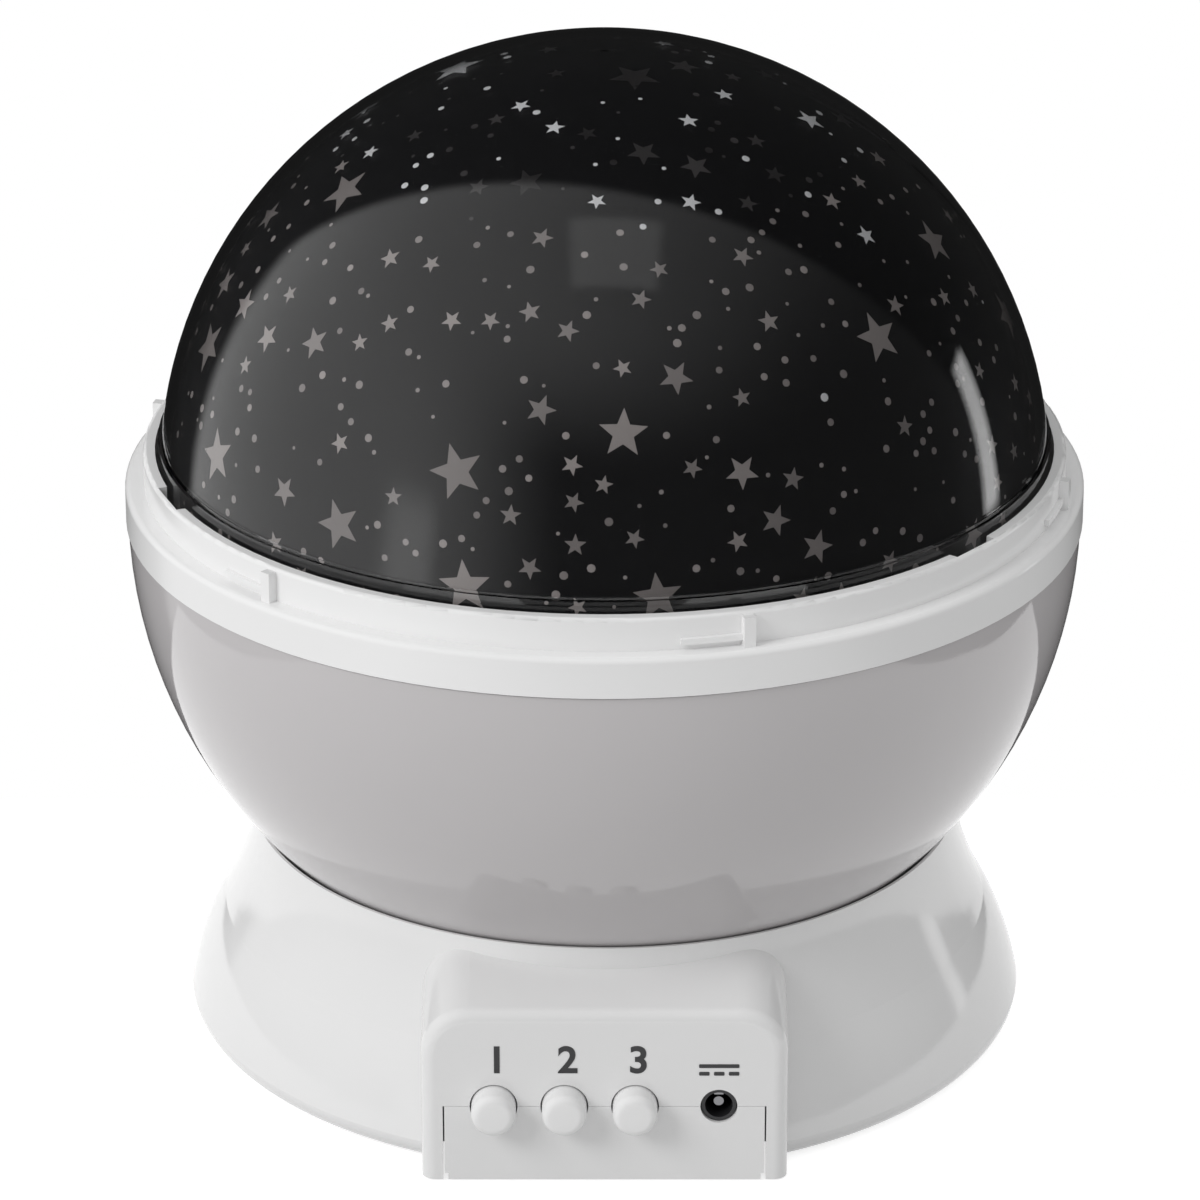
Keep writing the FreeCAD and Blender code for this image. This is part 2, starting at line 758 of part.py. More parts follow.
# Bowl: one moulded shell with a flat floor, a rim that the ring caps and a ledge for the dome's skirt.
def make_bowl():
    bowl = new_body("bowl_moulding")
    revolved(bowl, [
        ("hub_bore", "floor_under"),
        ("floor_r", "floor_under", "bowl_r"),
        ("bowl_top_r", "bowl_top"),
        ("rim_r", "bowl_top"),
        ("rim_r", "ledge_under"),
        ("rim_in", "ledge_under"),
        ("rim_in", "rim_seat"),
        ("rim_seat_r", "rim_seat"),
        ("rim_seat_r", "rim_seat_low"),
        ("bowl_in_low_r", "bowl_in_low", "-bowl_in"),
        ("floor_in_r", "floor_top"),
        ("hub_bore", "floor_top"),
    ])
    bosses = []
    pilots = []
    for number, (x, y) in enumerate(hub_screw_spots()):
        bosses.append(rod(f"hub_boss_{number}", "hub_boss_r", "small_screw_length",
                          x, y, "floor_under + floor_wall / 4"))
        pilots.append(rod(f"hub_pilot_{number}", "small_screw_r", "small_pilot", x, y, "floor_under"))
    bore = rod("hub_boss_bore", "hub_bore", "2 * bowl_depth")
    with_bosses = fused("bowl_with_bosses", [bowl] + bosses)
    keep(cut("bowl_shell_whole", with_bosses, pilots + [bore]), "bowl_shell")


def hub_screw_spots():
    """The screws that hold the gear to the bowl stand between the bore and the journal."""
    angles = [f"90 + {number} * 360 / hub_screw_count" for number in range(round(value("hub_screw_count")))]
    return [(f"hub_screw_at * cos({angle})", f"hub_screw_at * sin({angle})") for angle in angles]


# Base shell: flared skirt, control hood, deck with the bearing hole and bosses for every screw.
def make_base():
    outer = new_body("base_outer")
    revolved(outer, [
        ("0", "rim_z"),
        ("foot_r", "rim_z", "foot_round"),
        ("bulge_r", "bulge_z", "flank_round"),
        ("waist_r", "waist_z", "-neck_round"),
        ("neck_r", "neck_z"),
        ("0", "neck_z"),
    ])
    cave = new_body("base_cave")
    revolved(cave, [
        ("0", "cave_low"),
        ("cave_foot_r", "cave_low"),
        ("cave_foot_r", "rim_z"),
        ("cave_bulge_r", "bulge_z", "flank_round"),
        ("cave_waist_r", "waist_z"),
        ("cave_neck_r", "cave_neck_z"),
        ("cave_deck_r", "deck_under"),
        ("0", "deck_under"),
    ])
    hood = new_body("hood_outer")
    raised = padded(hood, [
        ("-hood_half", "hood_low"),
        ("hood_half", "hood_low"),
        ("hood_half", "hood_shoulder_z", "hood_round"),
        ("hood_shoulder_half", "hood_top"),
        ("-hood_shoulder_half", "hood_top", "hood_round"),
        ("-hood_half", "hood_shoulder_z"),
    ], "hood_depth", role="XZ_Plane", offset="hood_y")
    raised.UseCustomVector = True
    raised.AlongSketchNormal = True
    raised.Direction = FreeCAD.Vector(0, value("hood_depth"), value("hood_rise"))
    bind(raised, **{"Direction.y": "hood_depth", "Direction.z": "hood_rise"})
    DOC.recompute()
    front = -value("hood_y")
    rounded = hood.newObject("PartDesign::Fillet", "hood_edge_round")
    names = []
    for number, edge in enumerate(raised.Shape.Edges, 1):
        box = edge.BoundBox
        if box.YMax < front + 0.01 and box.ZMax > value("hood_low") + 0.01:
            names.append(f"Edge{number}")
    rounded.Base = (raised, names)
    bind(rounded, Radius="hood_edge")
    hood_cave = new_body("hood_cave")
    padded(hood_cave, [
        ("-hood_in_half", "cave_low"),
        ("hood_in_half", "cave_low"),
        ("hood_in_half", "cave_shoulder_z", "hood_in_round"),
        ("cave_shoulder_half", "hood_in_top"),
        ("-cave_shoulder_half", "hood_in_top", "hood_in_round"),
        ("-hood_in_half", "cave_shoulder_z"),
    ], "hood_cave_depth", role="XZ_Plane", offset="hood_in_y", back=True)
    below = block("below_hood", ("-2 * hood_half", "2 * hood_half"), ("-2 * hood_y", "0"),
                  ("hood_low - overcut", "rim_z"))
    trimmed = cut("hood_trimmed", hood, [below])
    mass = fused("base_mass", [outer, trimmed])
    hollow = cut("base_hollow", mass, [cave])
    skin = cut("base_skin", hollow, [hood_cave])
    for step in (trimmed, mass, hollow, skin):
        step.Refine = False

    bosses = []
    pilots = []
    for number, (x, y) in enumerate(cover_screw_spots()):
        bosses.append(rod(f"cover_boss_{number}", "boss_r", "deck_under + overcut - cover_top",
                          x, y, "cover_top"))
        pilots.append(rod(f"cover_pilot_{number}", "cover_screw_r", "cover_screw_length + pilot_spare",
                          x, y, "cover_top"))
    for number, (x, y) in enumerate(plate_screw_spots()):
        bosses.append(rod(f"plate_boss_{number}", "small_boss_r", "deck_under + overcut - plate_top",
                          x, y, "plate_top"))
        pilots.append(rod(f"plate_pilot_{number}", "small_screw_r", "small_pilot", x, y, "plate_top"))
    for side, sign in (("left", "-"), ("right", "")):
        near, far = f"{sign}(board_half - rail_lap)", f"{sign}(hood_in_half + shell_wall / 4)"
        x = (far, near) if sign else (near, far)
        for face, y in (
            ("front", ("-(board_y + rail_gap + rail_width)", "-(board_y + rail_gap)")),
            ("back", ("-(board_back_y - rail_gap)", "-(board_back_y - rail_gap - rail_width)")),
        ):
            bosses.append(block(f"board_rail_{side}_{face}", x, y, ("board_low", "board_high")))

    bowl_room = DOC.addObject("Part::Sphere", "bowl_room_ball")
    bind(bowl_room, Radius="recess_r", place_z="bowl_z")
    above_deck = rod("above_deck", "2 * recess_r", "2 * recess_r", z="deck_top")
    recess = DOC.addObject("Part::Common", "bowl_recess")
    recess.Base = bowl_room
    recess.Tool = above_deck
    holes = [
        recess,
        rod("bearing_hole", "journal_hole", "bowl_depth", z="rim_z + deck_wall"),
        block("flap_opening", ("-slit_half", "slit_half"), ("-2 * hood_y", "-(hood_in_y - hood_edge)"),
              ("cave_low", "split_z")),
    ]
    with_bosses = fused("base_with_bosses", [skin] + bosses)
    keep(cut("base_shell_whole", with_bosses, holes + pilots + front_holes("base")), "base_shell")


def front_holes(prefix):
    """The holes for the buttons and the jack, half in the shell and half in the flap."""
    holes = []
    for number in range(round(value("button_count"))):
        x = f"button_first + {number} * button_pitch"
        holes.append(rod(f"{prefix}_button_hole_{number}", "button_hole", "3 * shell_wall", x,
                         "-(hood_y + shell_wall)", "split_z", "y"))
    holes.append(rod(f"{prefix}_jack_hole", "jack_hole_r", "3 * shell_wall", "jack_x",
                     "-(hood_y + shell_wall)", "split_z", "y"))
    return holes


def cover_screw_spots():
    return [(f"{a}boss_at_x", f"{b}boss_at_y") for a in ("", "-") for b in ("", "-")]


def plate_screw_spots():
    """Three screws hold the gear plate up to the deck, round the motor and clear of the wheels."""
    return [(f"screw_{letter}_x", f"screw_{letter}_y") for letter in "abc"]


# Bottom cover: plate with the front flap, the cell bay's walls and roof, and seats for screws and pads.
def make_cover():
    plate = rod("cover_plate", "cover_r", "cover_thick", z="cover_z")
    tongue = block("cover_tongue", ("-flap_half", "flap_half"), ("-hood_y", "-(cover_r - tongue_root)"),
                   ("cover_z", "cover_top"))
    flap = block("cover_flap", ("-flap_half", "flap_half"), ("-hood_y", "-hood_in_y"),
                 ("rim_z", "split_z - split_gap"))
    bay = block("bay_outside", ("-bay_out_half", "bay_out_half"),
                ("bay_front - bay_wall", "bay_back + bay_wall"), ("cover_z", "bay_roof"))
    sockets = []
    tools = []
    rooms = [
        block("bay_inside", ("-bay_half", "bay_half"), ("bay_front", "bay_back"),
              ("cover_z - overcut", "bay_top")),
        block("door_rebate", ("-(door_half + door_gap)", "door_half + door_gap"),
              ("door_front - door_gap", "door_back + door_gap"),
              ("cover_z - overcut", "door_top + door_rest")),
        rod("hinge_pin_way", "hinge_pin_r + hinge_pin_gap", "2 * (hinge_pin_end + hinge_pin_gap)",
            "-(hinge_pin_end + hinge_pin_gap)", "hinge_y", "hinge_z", "x"),
    ]
    for number, (x, y) in enumerate(cover_screw_spots()):
        tools.append(rod(f"cover_screw_seat_{number}", "cover_head_r + screw_gap",
                         "head_under - cover_z + overcut", x, y, "cover_z - overcut"))
        tools.append(rod(f"cover_screw_way_{number}", "cover_screw_r + screw_gap", "2 * cover_thick",
                         x, y, "cover_z"))
    for number, (x, y) in enumerate(pad_spots()):
        tools.append(rod(f"pad_seat_{number}", "pad_seat_r", "foot_pad_thick", x, y, "0"))
    for number, (x, y) in enumerate(post_screw_spots()):
        sockets.append(rod(f"post_socket_{number}", "small_screw_r + socket_wall", "bay_wall + socket_drop",
                           x, y, "bay_top - socket_drop"))
        tools.append(rod(f"post_screw_way_{number}", "small_screw_r", "bay_wall + 2 * socket_drop",
                         x, y, "bay_top - 2 * socket_drop"))
    for side, sign in (("left", "-"), ("right", "")):
        tools.append(rod(f"lead_way_{side}", "lead_r + lead_way_gap", "3 * bay_wall",
                         f"{sign}(bay_half - lead_r - lead_gap)", "bay_front - 2 * bay_wall", "cell_z", "y"))
    notches = [
        block(f"slit_notch_{side}",
              (f"{sign}flap_half - slit_notch / 2", f"{sign}flap_half + slit_notch / 2"),
              ("-2 * hood_y", "-hood_in_y + overcut"), ("rim_z - overcut", "rim_z + slit_notch"))
        for side, sign in (("left", "-"), ("right", ""))
    ]
    hollow = cut("cover_hollow", fused("cover_mass", [plate, tongue, flap, bay]), rooms + notches)
    ready = fused("cover_with_sockets", [hollow] + sockets)
    keep(cut("bottom_cover_whole", ready, tools + front_holes("cover")), "bottom_cover")
    screws("cover_screws", cover_screw_spots(), ("cover_head_r", "cover_head_h"),
           ("cover_screw_r", "cover_screw_length"), "head_under")
    for number, (x, y) in enumerate(pad_spots(), 1):
        keep(rod(f"rubber_pad_{number}", "foot_pad_r", "foot_pad_thick", x, y, "0"), f"foot_{number}")


def pad_spots():
    return [(f"{a}pad_x", f"{b}pad_y") for a in ("", "-") for b in ("", "-")]


def post_screw_spots():
    return [("post_screw_x", "valley_y"), ("-post_screw_x", "valley_y")]


# Battery door: closes the cell bay from below, turns on two pins at its front edge and latches at the back.
def make_door():
    panel = block("door_panel", ("-door_half", "door_half"), ("hinge_y", "door_back"),
                  ("cover_z", "door_top"))
    front = rod("door_front_edge", "door_thick / 2", "2 * door_half", "-door_half", "hinge_y", "hinge_z", "x")
    pins = rod("door_pins", "hinge_pin_r", "2 * hinge_pin_end", "-hinge_pin_end", "hinge_y", "hinge_z", "x")
    cuts = []
    for number in range(round(value("grip_count"))):
        y = f"door_front + grip_first + {number} * grip_pitch"
        cuts.append(block(f"door_grip_{number}", ("-grip_half", "grip_half"), (y, f"{y} + grip_width"),
                          ("cover_z - overcut", "cover_z + grip_depth")))
    for side, x in (("left", "-latch_half"), ("right", "latch_half")):
        cuts.append(block(f"latch_slit_{side}", (f"{x} - latch_slit / 2", f"{x} + latch_slit / 2"),
                          ("door_back - latch_length", "door_back + overcut"),
                          ("cover_z - overcut", "door_top + overcut")))
    cuts.append(block("latch_scoop", ("-scoop_half", "scoop_half"),
                      ("door_back - scoop_start", "door_back - scoop_end"),
                      ("cover_z - overcut", "cover_z + scoop_depth")))
    keep(cut("battery_door_whole", fused("door_mass", [panel, front, pins]), cuts), "battery_door")


# Four cells in series lie across the bay, head to tail, between two rows of contacts.
def make_cells():
    rows = range(round(value("cell_count")))
    half = "cell_length / 2"
    for number in rows:
        y = f"bay_front + cell_pitch * ({number} + 0.5)"
        turned = number % 2 == 1
        can = rod(f"cell_can_{number}", "cell_r", "cell_length - cell_nub_h",
                  f"-{half} + cell_nub_h" if turned else f"-{half}", y, "cell_z", "x")
        nub = rod(f"cell_nub_{number}", "cell_nub_r", "2 * cell_nub_h",
                  f"-{half}" if turned else f"{half} - 2 * cell_nub_h", y, "cell_z", "x")
        keep(fused(f"cell_{number}", [can, nub]), f"battery_{number + 1}")
    for side, sign in (("left", "-"), ("right", "")):
        plates = []
        spans = [(0, 0), (1, 2), (3, 3)] if side == "left" else [(0, 1), (2, 3)]
        for first, last in spans:
            y = (f"bay_front + cell_pitch * ({first} + 0.5) - contact_width / 2",
                 f"bay_front + cell_pitch * ({last} + 0.5) + contact_width / 2")
            x = ("bay_half - contact_thick", "bay_half")
            if sign:
                x = ("-bay_half", "-bay_half + contact_thick")
            plate = block(f"contact_plate_{side}_{first}", x, y,
                          ("cell_z - contact_height / 2", "cell_z + contact_height / 2"))
            parts = [plate]
            for number in range(first, last + 1):
                spring = DOC.addObject("Part::Cone", f"contact_spring_{side}_{number}")
                spring.Placement.Rotation = FreeCAD.Rotation(FreeCAD.Vector(0, 1, 0), 90 if sign else -90)
                bind(spring, Radius1="0.6 * cell_r", Radius2="0.8 * cell_nub_r",
                     Height="bay_half - contact_thick - cell_length / 2", place_x=x[1] if sign else x[0],
                     place_y=f"bay_front + cell_pitch * ({number} + 0.5)", place_z="cell_z")
                parts.append(spring)
            plates.append(fused(f"contact_{side}_{first}", parts))
        keep(group(f"contacts_{side}", plates), f"battery_contacts_{side}")


# Controls: a board stands behind the panel with three push switches, the inlet and the control chip.
def make_controls():
    board = block("board", ("-board_half", "board_half"), ("-board_y", "-board_back_y"),
                  ("board_low", "board_high"))
    keep(board, "circuit_board")
    chip = block("chip", ("-chip_width / 2", "chip_width / 2"),
                 ("-board_back_y", "-board_back_y + chip_thick"),
                 ("split_z - chip_height / 2", "split_z + chip_height / 2"))
    keep(chip, "control_chip")
    for number in range(round(value("button_count"))):
        x = f"button_first + {number} * button_pitch"
        case = block(f"switch_case_{number}", (f"{x} - switch_side / 2", f"{x} + switch_side / 2"),
                     ("-switch_front_y", "-board_y"),
                     ("split_z - switch_side / 2", "split_z + switch_side / 2"))
        well = rod(f"switch_well_{number}", "plunger_r + plunger_gap", "switch_depth", x,
                   "-(switch_front_y + plunger_rest / 2)", "split_z", "y")
        keep(cut(f"switch_{number}", case, [well]), f"push_switch_{number + 1}")
        plunger = rod(f"plunger_{number}", "plunger_r", "plunger_front_y - plunger_back_y", x,
                      "-plunger_front_y", "split_z", "y")
        keep(plunger, f"switch_plunger_{number + 1}")
        face = DOC.addObject("Part::Cone", f"button_face_{number}")
        face.Placement.Rotation = FreeCAD.Rotation(FreeCAD.Vector(1, 0, 0), -90)
        bind(face, Radius1="button_r - button_dome", Radius2="button_r", Height="button_dome",
             place_x=x, place_y="-button_face", place_z="split_z")
        stem = rod(f"button_stem_{number}", "button_r", "button_face - button_dome - flange_y", x,
                   "-(button_face - button_dome)", "split_z", "y")
        flange = rod(f"button_flange_{number}", "flange_r", "flange_thick", x, "-flange_y", "split_z", "y")
        keep(fused(f"button_{number}", [face, stem, flange]), f"button_cap_{number + 1}")


# DC inlet: a small round socket with a centre pin and a spring contact above it.
def make_inlet():
    half = "jack_side / 2"
    case = block("jack_case", (f"jack_x - {half}", f"jack_x + {half}"), ("-jack_front_y", "-board_y"),
                 (f"split_z - {half}", f"split_z + {half}"))
    snout = rod("jack_snout", "jack_snout_r", "hood_y - jack_recess - board_y", "jack_x",
                "-(hood_y - jack_recess)", "split_z", "y")
    bore = rod("jack_bore", "jack_bore_r", "hood_y - board_y - jack_back", "jack_x", "-hood_y",
               "split_z", "y")
    keep(cut("inlet_socket", fused("jack_body", [case, snout]), [bore]), "dc_socket")
    pin = rod("inlet_pin", "jack_pin_r", "hood_y - board_y - jack_back - jack_pin_recess", "jack_x",
              "-(hood_y - jack_pin_recess)", "split_z", "y")
    keep(pin, "dc_socket_pin")
    top = "split_z + jack_bore_r - jack_spring_gap"
    contact = block("inlet_contact", ("jack_x - jack_spring_width / 2", "jack_x + jack_spring_width / 2"),
                    ("-(hood_y - jack_spring_recess)", "-(board_y + jack_back)"),
                    (f"{top} - jack_spring_thick", top))
    keep(contact, "dc_socket_contact")


# Toothed wheels: involute teeth of one module, so that any two of them mesh.
def toothed(name, teeth, z, width, x, y, phase):
    """A toothed disc. phase is where one tooth's middle points, in degrees."""
    drawing = fcgear.FCWireBuilder()
    involute.CreateExternalGear(
        drawing,
        value("module_size"),
        round(value(teeth)),
        value("pressure"),
        split=False,
        addCoeff=value("tooth_tip"),
        dedCoeff=value("tooth_root"),
        filletCoeff=0.2,
    )
    outline = DOC.addObject("Part::Feature", f"{name}_teeth")
    outline.Shape = Part.Wire([edge.toShape() for edge in drawing.wire])
    disc = DOC.addObject("Part::Extrusion", name)
    disc.Base = outline
    disc.DirMode = "Custom"
    disc.Dir = FreeCAD.Vector(0, 0, 1)
    disc.Solid = True
    disc.Placement.Rotation = FreeCAD.Rotation(FreeCAD.Vector(0, 0, 1), phase)
    return bind(disc, LengthFwd=width, place_x=x, place_y=y, place_z=z)


def spot(x, y):
    """A place in plan as numbers, from two layout names."""
    return FreeCAD.Vector(value(x), value(y), 0)


def heading(start, stop):
    return math.degrees(math.atan2(stop.y - start.y, stop.x - start.x))


def meshing_phase(first_phase, first_teeth, direction, second_teeth):
    """The phase of a wheel that meets a first one in a direction, so that its gap takes the other's tooth."""
    first_share = (direction - first_phase) * first_teeth / 360
    return direction + 180 - (0.5 - first_share) * 360 / second_teeth


# Drive: a flat motor under a plate, two compound wheels on fixed pins, and the gear under the bowl.
def make_drive():
    centre = FreeCAD.Vector()
    motor = spot("motor_x", "motor_y")
    last = spot("last_x", "last_y")
    middle = spot("middle_x", "middle_y")
    bowl_teeth = round(value("bowl_teeth"))
    wheel_teeth = round(value("wheel_teeth"))
    pinion_teeth = round(value("pinion_teeth"))
    last_pinion_phase = meshing_phase(0, bowl_teeth, heading(centre, last), pinion_teeth)
    middle_pinion_phase = meshing_phase(0, wheel_teeth, heading(last, middle), pinion_teeth)
    motor_pinion_phase = meshing_phase(0, wheel_teeth, heading(middle, motor), pinion_teeth)

    teeth = toothed("bowl_gear_teeth", "bowl_teeth", "gear_low", "gear_width", "0", "0", 0)
    journal = rod("bowl_gear_journal", "journal_r", "floor_under - gear_top", z="gear_top")
    bore = rod("bowl_gear_bore", "hub_bore", "2 * deck_top")
    tools = [bore]
    for number, (x, y) in enumerate(hub_screw_spots()):
        tools.append(rod(f"hub_way_{number}", "screw_way_r", "deck_top", x, y, "gear_low - overcut"))
        tools.append(rod(f"hub_seat_{number}", "small_head_r + screw_gap", "small_head_h + overcut",
                         x, y, "gear_low - overcut"))
    gear = cut("bowl_gear_whole", fused("bowl_gear_mass", [teeth, journal]), tools)
    keep(gear, "bowl_gear")
    shank = "floor_under + small_screw_length - screw_spare - (gear_low + small_head_h)"
    screws("hub_screws", hub_screw_spots(), ("small_head_r", "small_head_h"), ("small_screw_r", shank),
           "gear_low + small_head_h")
    ring = rod("washer_disc", "washer_r", "washer_thick", z="deck_top")
    keep(cut("washer_whole", ring, [rod("washer_bore", "washer_in", "2 * deck_top")]), "thrust_washer")

    for name, x, y, wheel_z, phase in (
        ("reduction_gear_1", "middle_x", "middle_y", "layer_one", middle_pinion_phase),
        ("reduction_gear_2", "last_x", "last_y", "layer_two", last_pinion_phase),
    ):
        wheel = toothed(f"{name}_wheel", "wheel_teeth", wheel_z, "gear_width", x, y, 0)
        pinion = toothed(f"{name}_pinion", "pinion_teeth", f"{wheel_z} + gear_width",
                         "gear_space + gear_width", x, y, phase)
        hole = rod(f"{name}_bore", "axle_bore", "2 * deck_top", x, y)
        keep(cut(f"{name}_whole", fused(f"{name}_mass", [wheel, pinion]), [hole]), name)
    keep(rod("first_pin", "axle_r", "layer_two + gear_width + axle_proud - plate_low",
             "middle_x", "middle_y", "plate_low"), "gear_axle_1")
    keep(rod("second_pin", "axle_r", "gear_top + axle_proud - plate_low",
             "last_x", "last_y", "plate_low"), "gear_axle_2")

    pinion = toothed("motor_pinion_teeth", "pinion_teeth", "layer_one", "gear_width", "motor_x", "motor_y",
                     motor_pinion_phase)
    pinion_bore = rod("motor_pinion_bore", "shaft_r", "2 * deck_top", "motor_x", "motor_y")
    keep(cut("motor_pinion_whole", pinion, [pinion_bore]), "motor_pinion")
    spindle_z = "motor_low + motor_cap + axle_proud"
    keep(rod("motor_spindle", "shaft_r", f"layer_one + gear_width - ({spindle_z})", "motor_x", "motor_y",
             spindle_z), "motor_shaft")
    can = rod("motor_can", "motor_r", "motor_height", "motor_x", "motor_y", "motor_low")
    boss = rod("motor_boss", "motor_boss_r", "motor_boss_h", "motor_x", "motor_y", "plate_low")
    screw_spots = motor_screw_spots(heading(motor, middle))
    tools = [rod("motor_bore_way", "motor_bore", "deck_top", "motor_x", "motor_y", "motor_low + motor_cap")]
    for number, (x, y) in enumerate(screw_spots):
        tools.append(rod(f"motor_tap_{number}", "small_screw_r", "motor_tap", x, y, "plate_low - motor_tap"))
    tabs = [
        block(f"motor_tab_{number}", (f"{x} - tab_width / 2", f"{x} + tab_width / 2"),
              ("motor_y - motor_r - tab_out", "motor_y - motor_r / 2"),
              ("motor_low + (motor_height - tab_height) / 2", "motor_low + (motor_height + tab_height) / 2"))
        for number, x in enumerate(tab_places())
    ]
    keep(cut("motor_whole", fused("motor_mass", [can, boss] + tabs), tools), "motor")
    screws("motor_screws", screw_spots, ("small_head_r", "small_head_h"),
           ("small_screw_r", "plate_thick + 0.9 * motor_tap"), "plate_top", upward=False)

    rims = [
        (motor, value("motor_r") - value("plate_inset")),
        (last, value("plate_rim_wide")),
        (middle, value("plate_rim")),
    ]
    rims += [(spot(x, y), value("plate_rim")) for x, y in plate_screw_spots()]
    plate = DOC.addObject("Part::Feature", "plate_blank")
    plate.Shape = rounded_plate(rims, value("plate_thick"))
    plate.Placement = FreeCAD.Placement(FreeCAD.Vector(0, 0, value("plate_low")), FreeCAD.Rotation())
    tools = [rod("plate_motor_hole", "motor_boss_r + axle_fit", "deck_top", "motor_x", "motor_y")]
    tools.append(rod("plate_pin_hole_1", "axle_r", "deck_top", "middle_x", "middle_y"))
    tools.append(rod("plate_pin_hole_2", "axle_r", "deck_top", "last_x", "last_y"))
    for number, (x, y) in enumerate(screw_spots + plate_screw_spots()):
        tools.append(rod(f"plate_screw_way_{number}", "screw_way_r", "deck_top", x, y))
    keep(cut("gear_plate_whole", plate, tools), "gear_plate")
    screws("plate_screws", plate_screw_spots(), ("small_head_r", "small_head_h"),
           ("small_screw_r", "plate_thick + small_screw_length - screw_spare"), "plate_low")


def motor_screw_spots(direction):
    """Two screws hold the motor, either side of its shaft and clear of the first wheel."""
    angles = (direction + 90, direction - 90)
    return [(f"motor_x + motor_screw_reach * cos({angle})", f"motor_y + motor_screw_reach * sin({angle})")
            for angle in angles]


def tab_places():
    """The motor's terminals, side by side on the face towards the board."""
    return [f"motor_x + tab_first + {number} * tab_pitch" for number in range(round(value("tab_count")))]


def rounded_plate(rims, thick, sides=72):
    """A flat plate whose outline goes tightly round a set of discs, each drawn with so many sides."""
    points = []
    for centre, radius in rims:
        for step in range(sides):
            angle = 2 * math.pi * step / sides
            points.append((centre.x + radius * math.cos(angle), centre.y + radius * math.sin(angle)))
    points.sort()
    hull = []
    for walk in (points, points[::-1]):
        chain = []
        for p in walk:
            while len(chain) > 1 and (
                (chain[-1][0] - chain[-2][0]) * (p[1] - chain[-2][1])
                <= (chain[-1][1] - chain[-2][1]) * (p[0] - chain[-2][0])
            ):
                chain.pop()
            chain.append(p)
        hull += chain[:-1]
    corners = [FreeCAD.Vector(x, y, 0) for x, y in hull]
    face = Part.Face(Part.makePolygon(corners + corners[:1]))
    return face.extrude(FreeCAD.Vector(0, 0, thick))


# Light post: a hollow column that stands on the cell bay, passes up through the bowl and holds four lamps.
def make_light():
    foot = block("post_foot", ("-post_foot_half", "post_foot_half"), ("-post_foot_front", "post_foot_back"),
                 ("bay_roof", "bay_roof + post_foot_thick"))
    tube = rod("post_tube", "post_r", "post_height", z="bay_roof")
    flange = rod("post_flange", "post_flange_r", "post_flange_thick", z="post_top - post_flange_thick")
    tools = [rod("post_hollow", "post_in", "2 * post_top")]
    for number, (x, y) in enumerate(post_screw_spots()):
        tools.append(rod(f"post_foot_way_{number}", "screw_way_r", "2 * deck_top", x, y))
    keep(cut("post_whole", fused("post_mass", [foot, tube, flange]), tools), "light_post")
    screws("post_screws", post_screw_spots(), ("small_head_r", "small_head_h"),
           ("small_screw_r", "post_foot_thick + bay_wall + post_screw_tip"), "bay_roof + post_foot_thick",
           upward=False)
    keep(rod("lamp_disc", "lamp_board_r", "lamp_board_thick", z="post_top"), "lamp_board")
    for number in range(round(value("lamp_count"))):
        angle = f"45 + {number} * 360 / lamp_count"
        x, y = f"lamp_at * cos({angle})", f"lamp_at * sin({angle})"
        rim = rod(f"lamp_rim_{number}", "lamp_flange_r", "lamp_flange_h", x, y, "lamp_board_top")
        body = rod(f"lamp_body_{number}", "lamp_r", "lamp_height - lamp_r", x, y, "lamp_board_top")
        crown = DOC.addObject("Part::Sphere", f"lamp_crown_{number}")
        bind(crown, Radius="lamp_r", place_x=x, place_y=y, place_z="lamp_board_top + lamp_height - lamp_r")
        keep(fused(f"lamp_{number}", [rim, body, crown]), f"lamp_{number + 1}")


def wire_tube(name, points, radius):
    """A wire that the casing holds: straight runs with an arc at each corner."""
    edges = []
    start = points[0]
    for before, corner, after in zip(points, points[1:], points[2:]):
        into = corner - before
        out = after - corner
        turn = into.getAngle(out)
        reach = 0.45 * min(into.Length, out.Length)
        first = corner - into.normalize() * reach
        last = corner + out.normalize() * reach
        bend = reach / math.tan(turn / 2)
        centre = corner + ((first + last) / 2 - corner).normalize() * math.hypot(bend, reach)
        middle = centre + (corner - centre).normalize() * bend
        edges.append(Part.LineSegment(start, first).toShape())
        edges.append(Part.Arc(first, middle, last).toShape())
        start = last
    edges.append(Part.LineSegment(start, points[-1]).toShape())
    ring = Part.Wire(Part.Circle(points[0], points[1] - points[0], radius).toShape())
    wire = DOC.addObject("Part::Feature", f"{name}_tube")
    wire.Shape = Part.Wire(edges).makePipeShell([ring], True, False)
    print(f"{name}: {round(Part.Wire(edges).Length, 1)} mm long, volume over section times length",
          round(wire.Shape.Volume / (math.pi * radius * radius * Part.Wire(edges).Length), 3))
    return wire


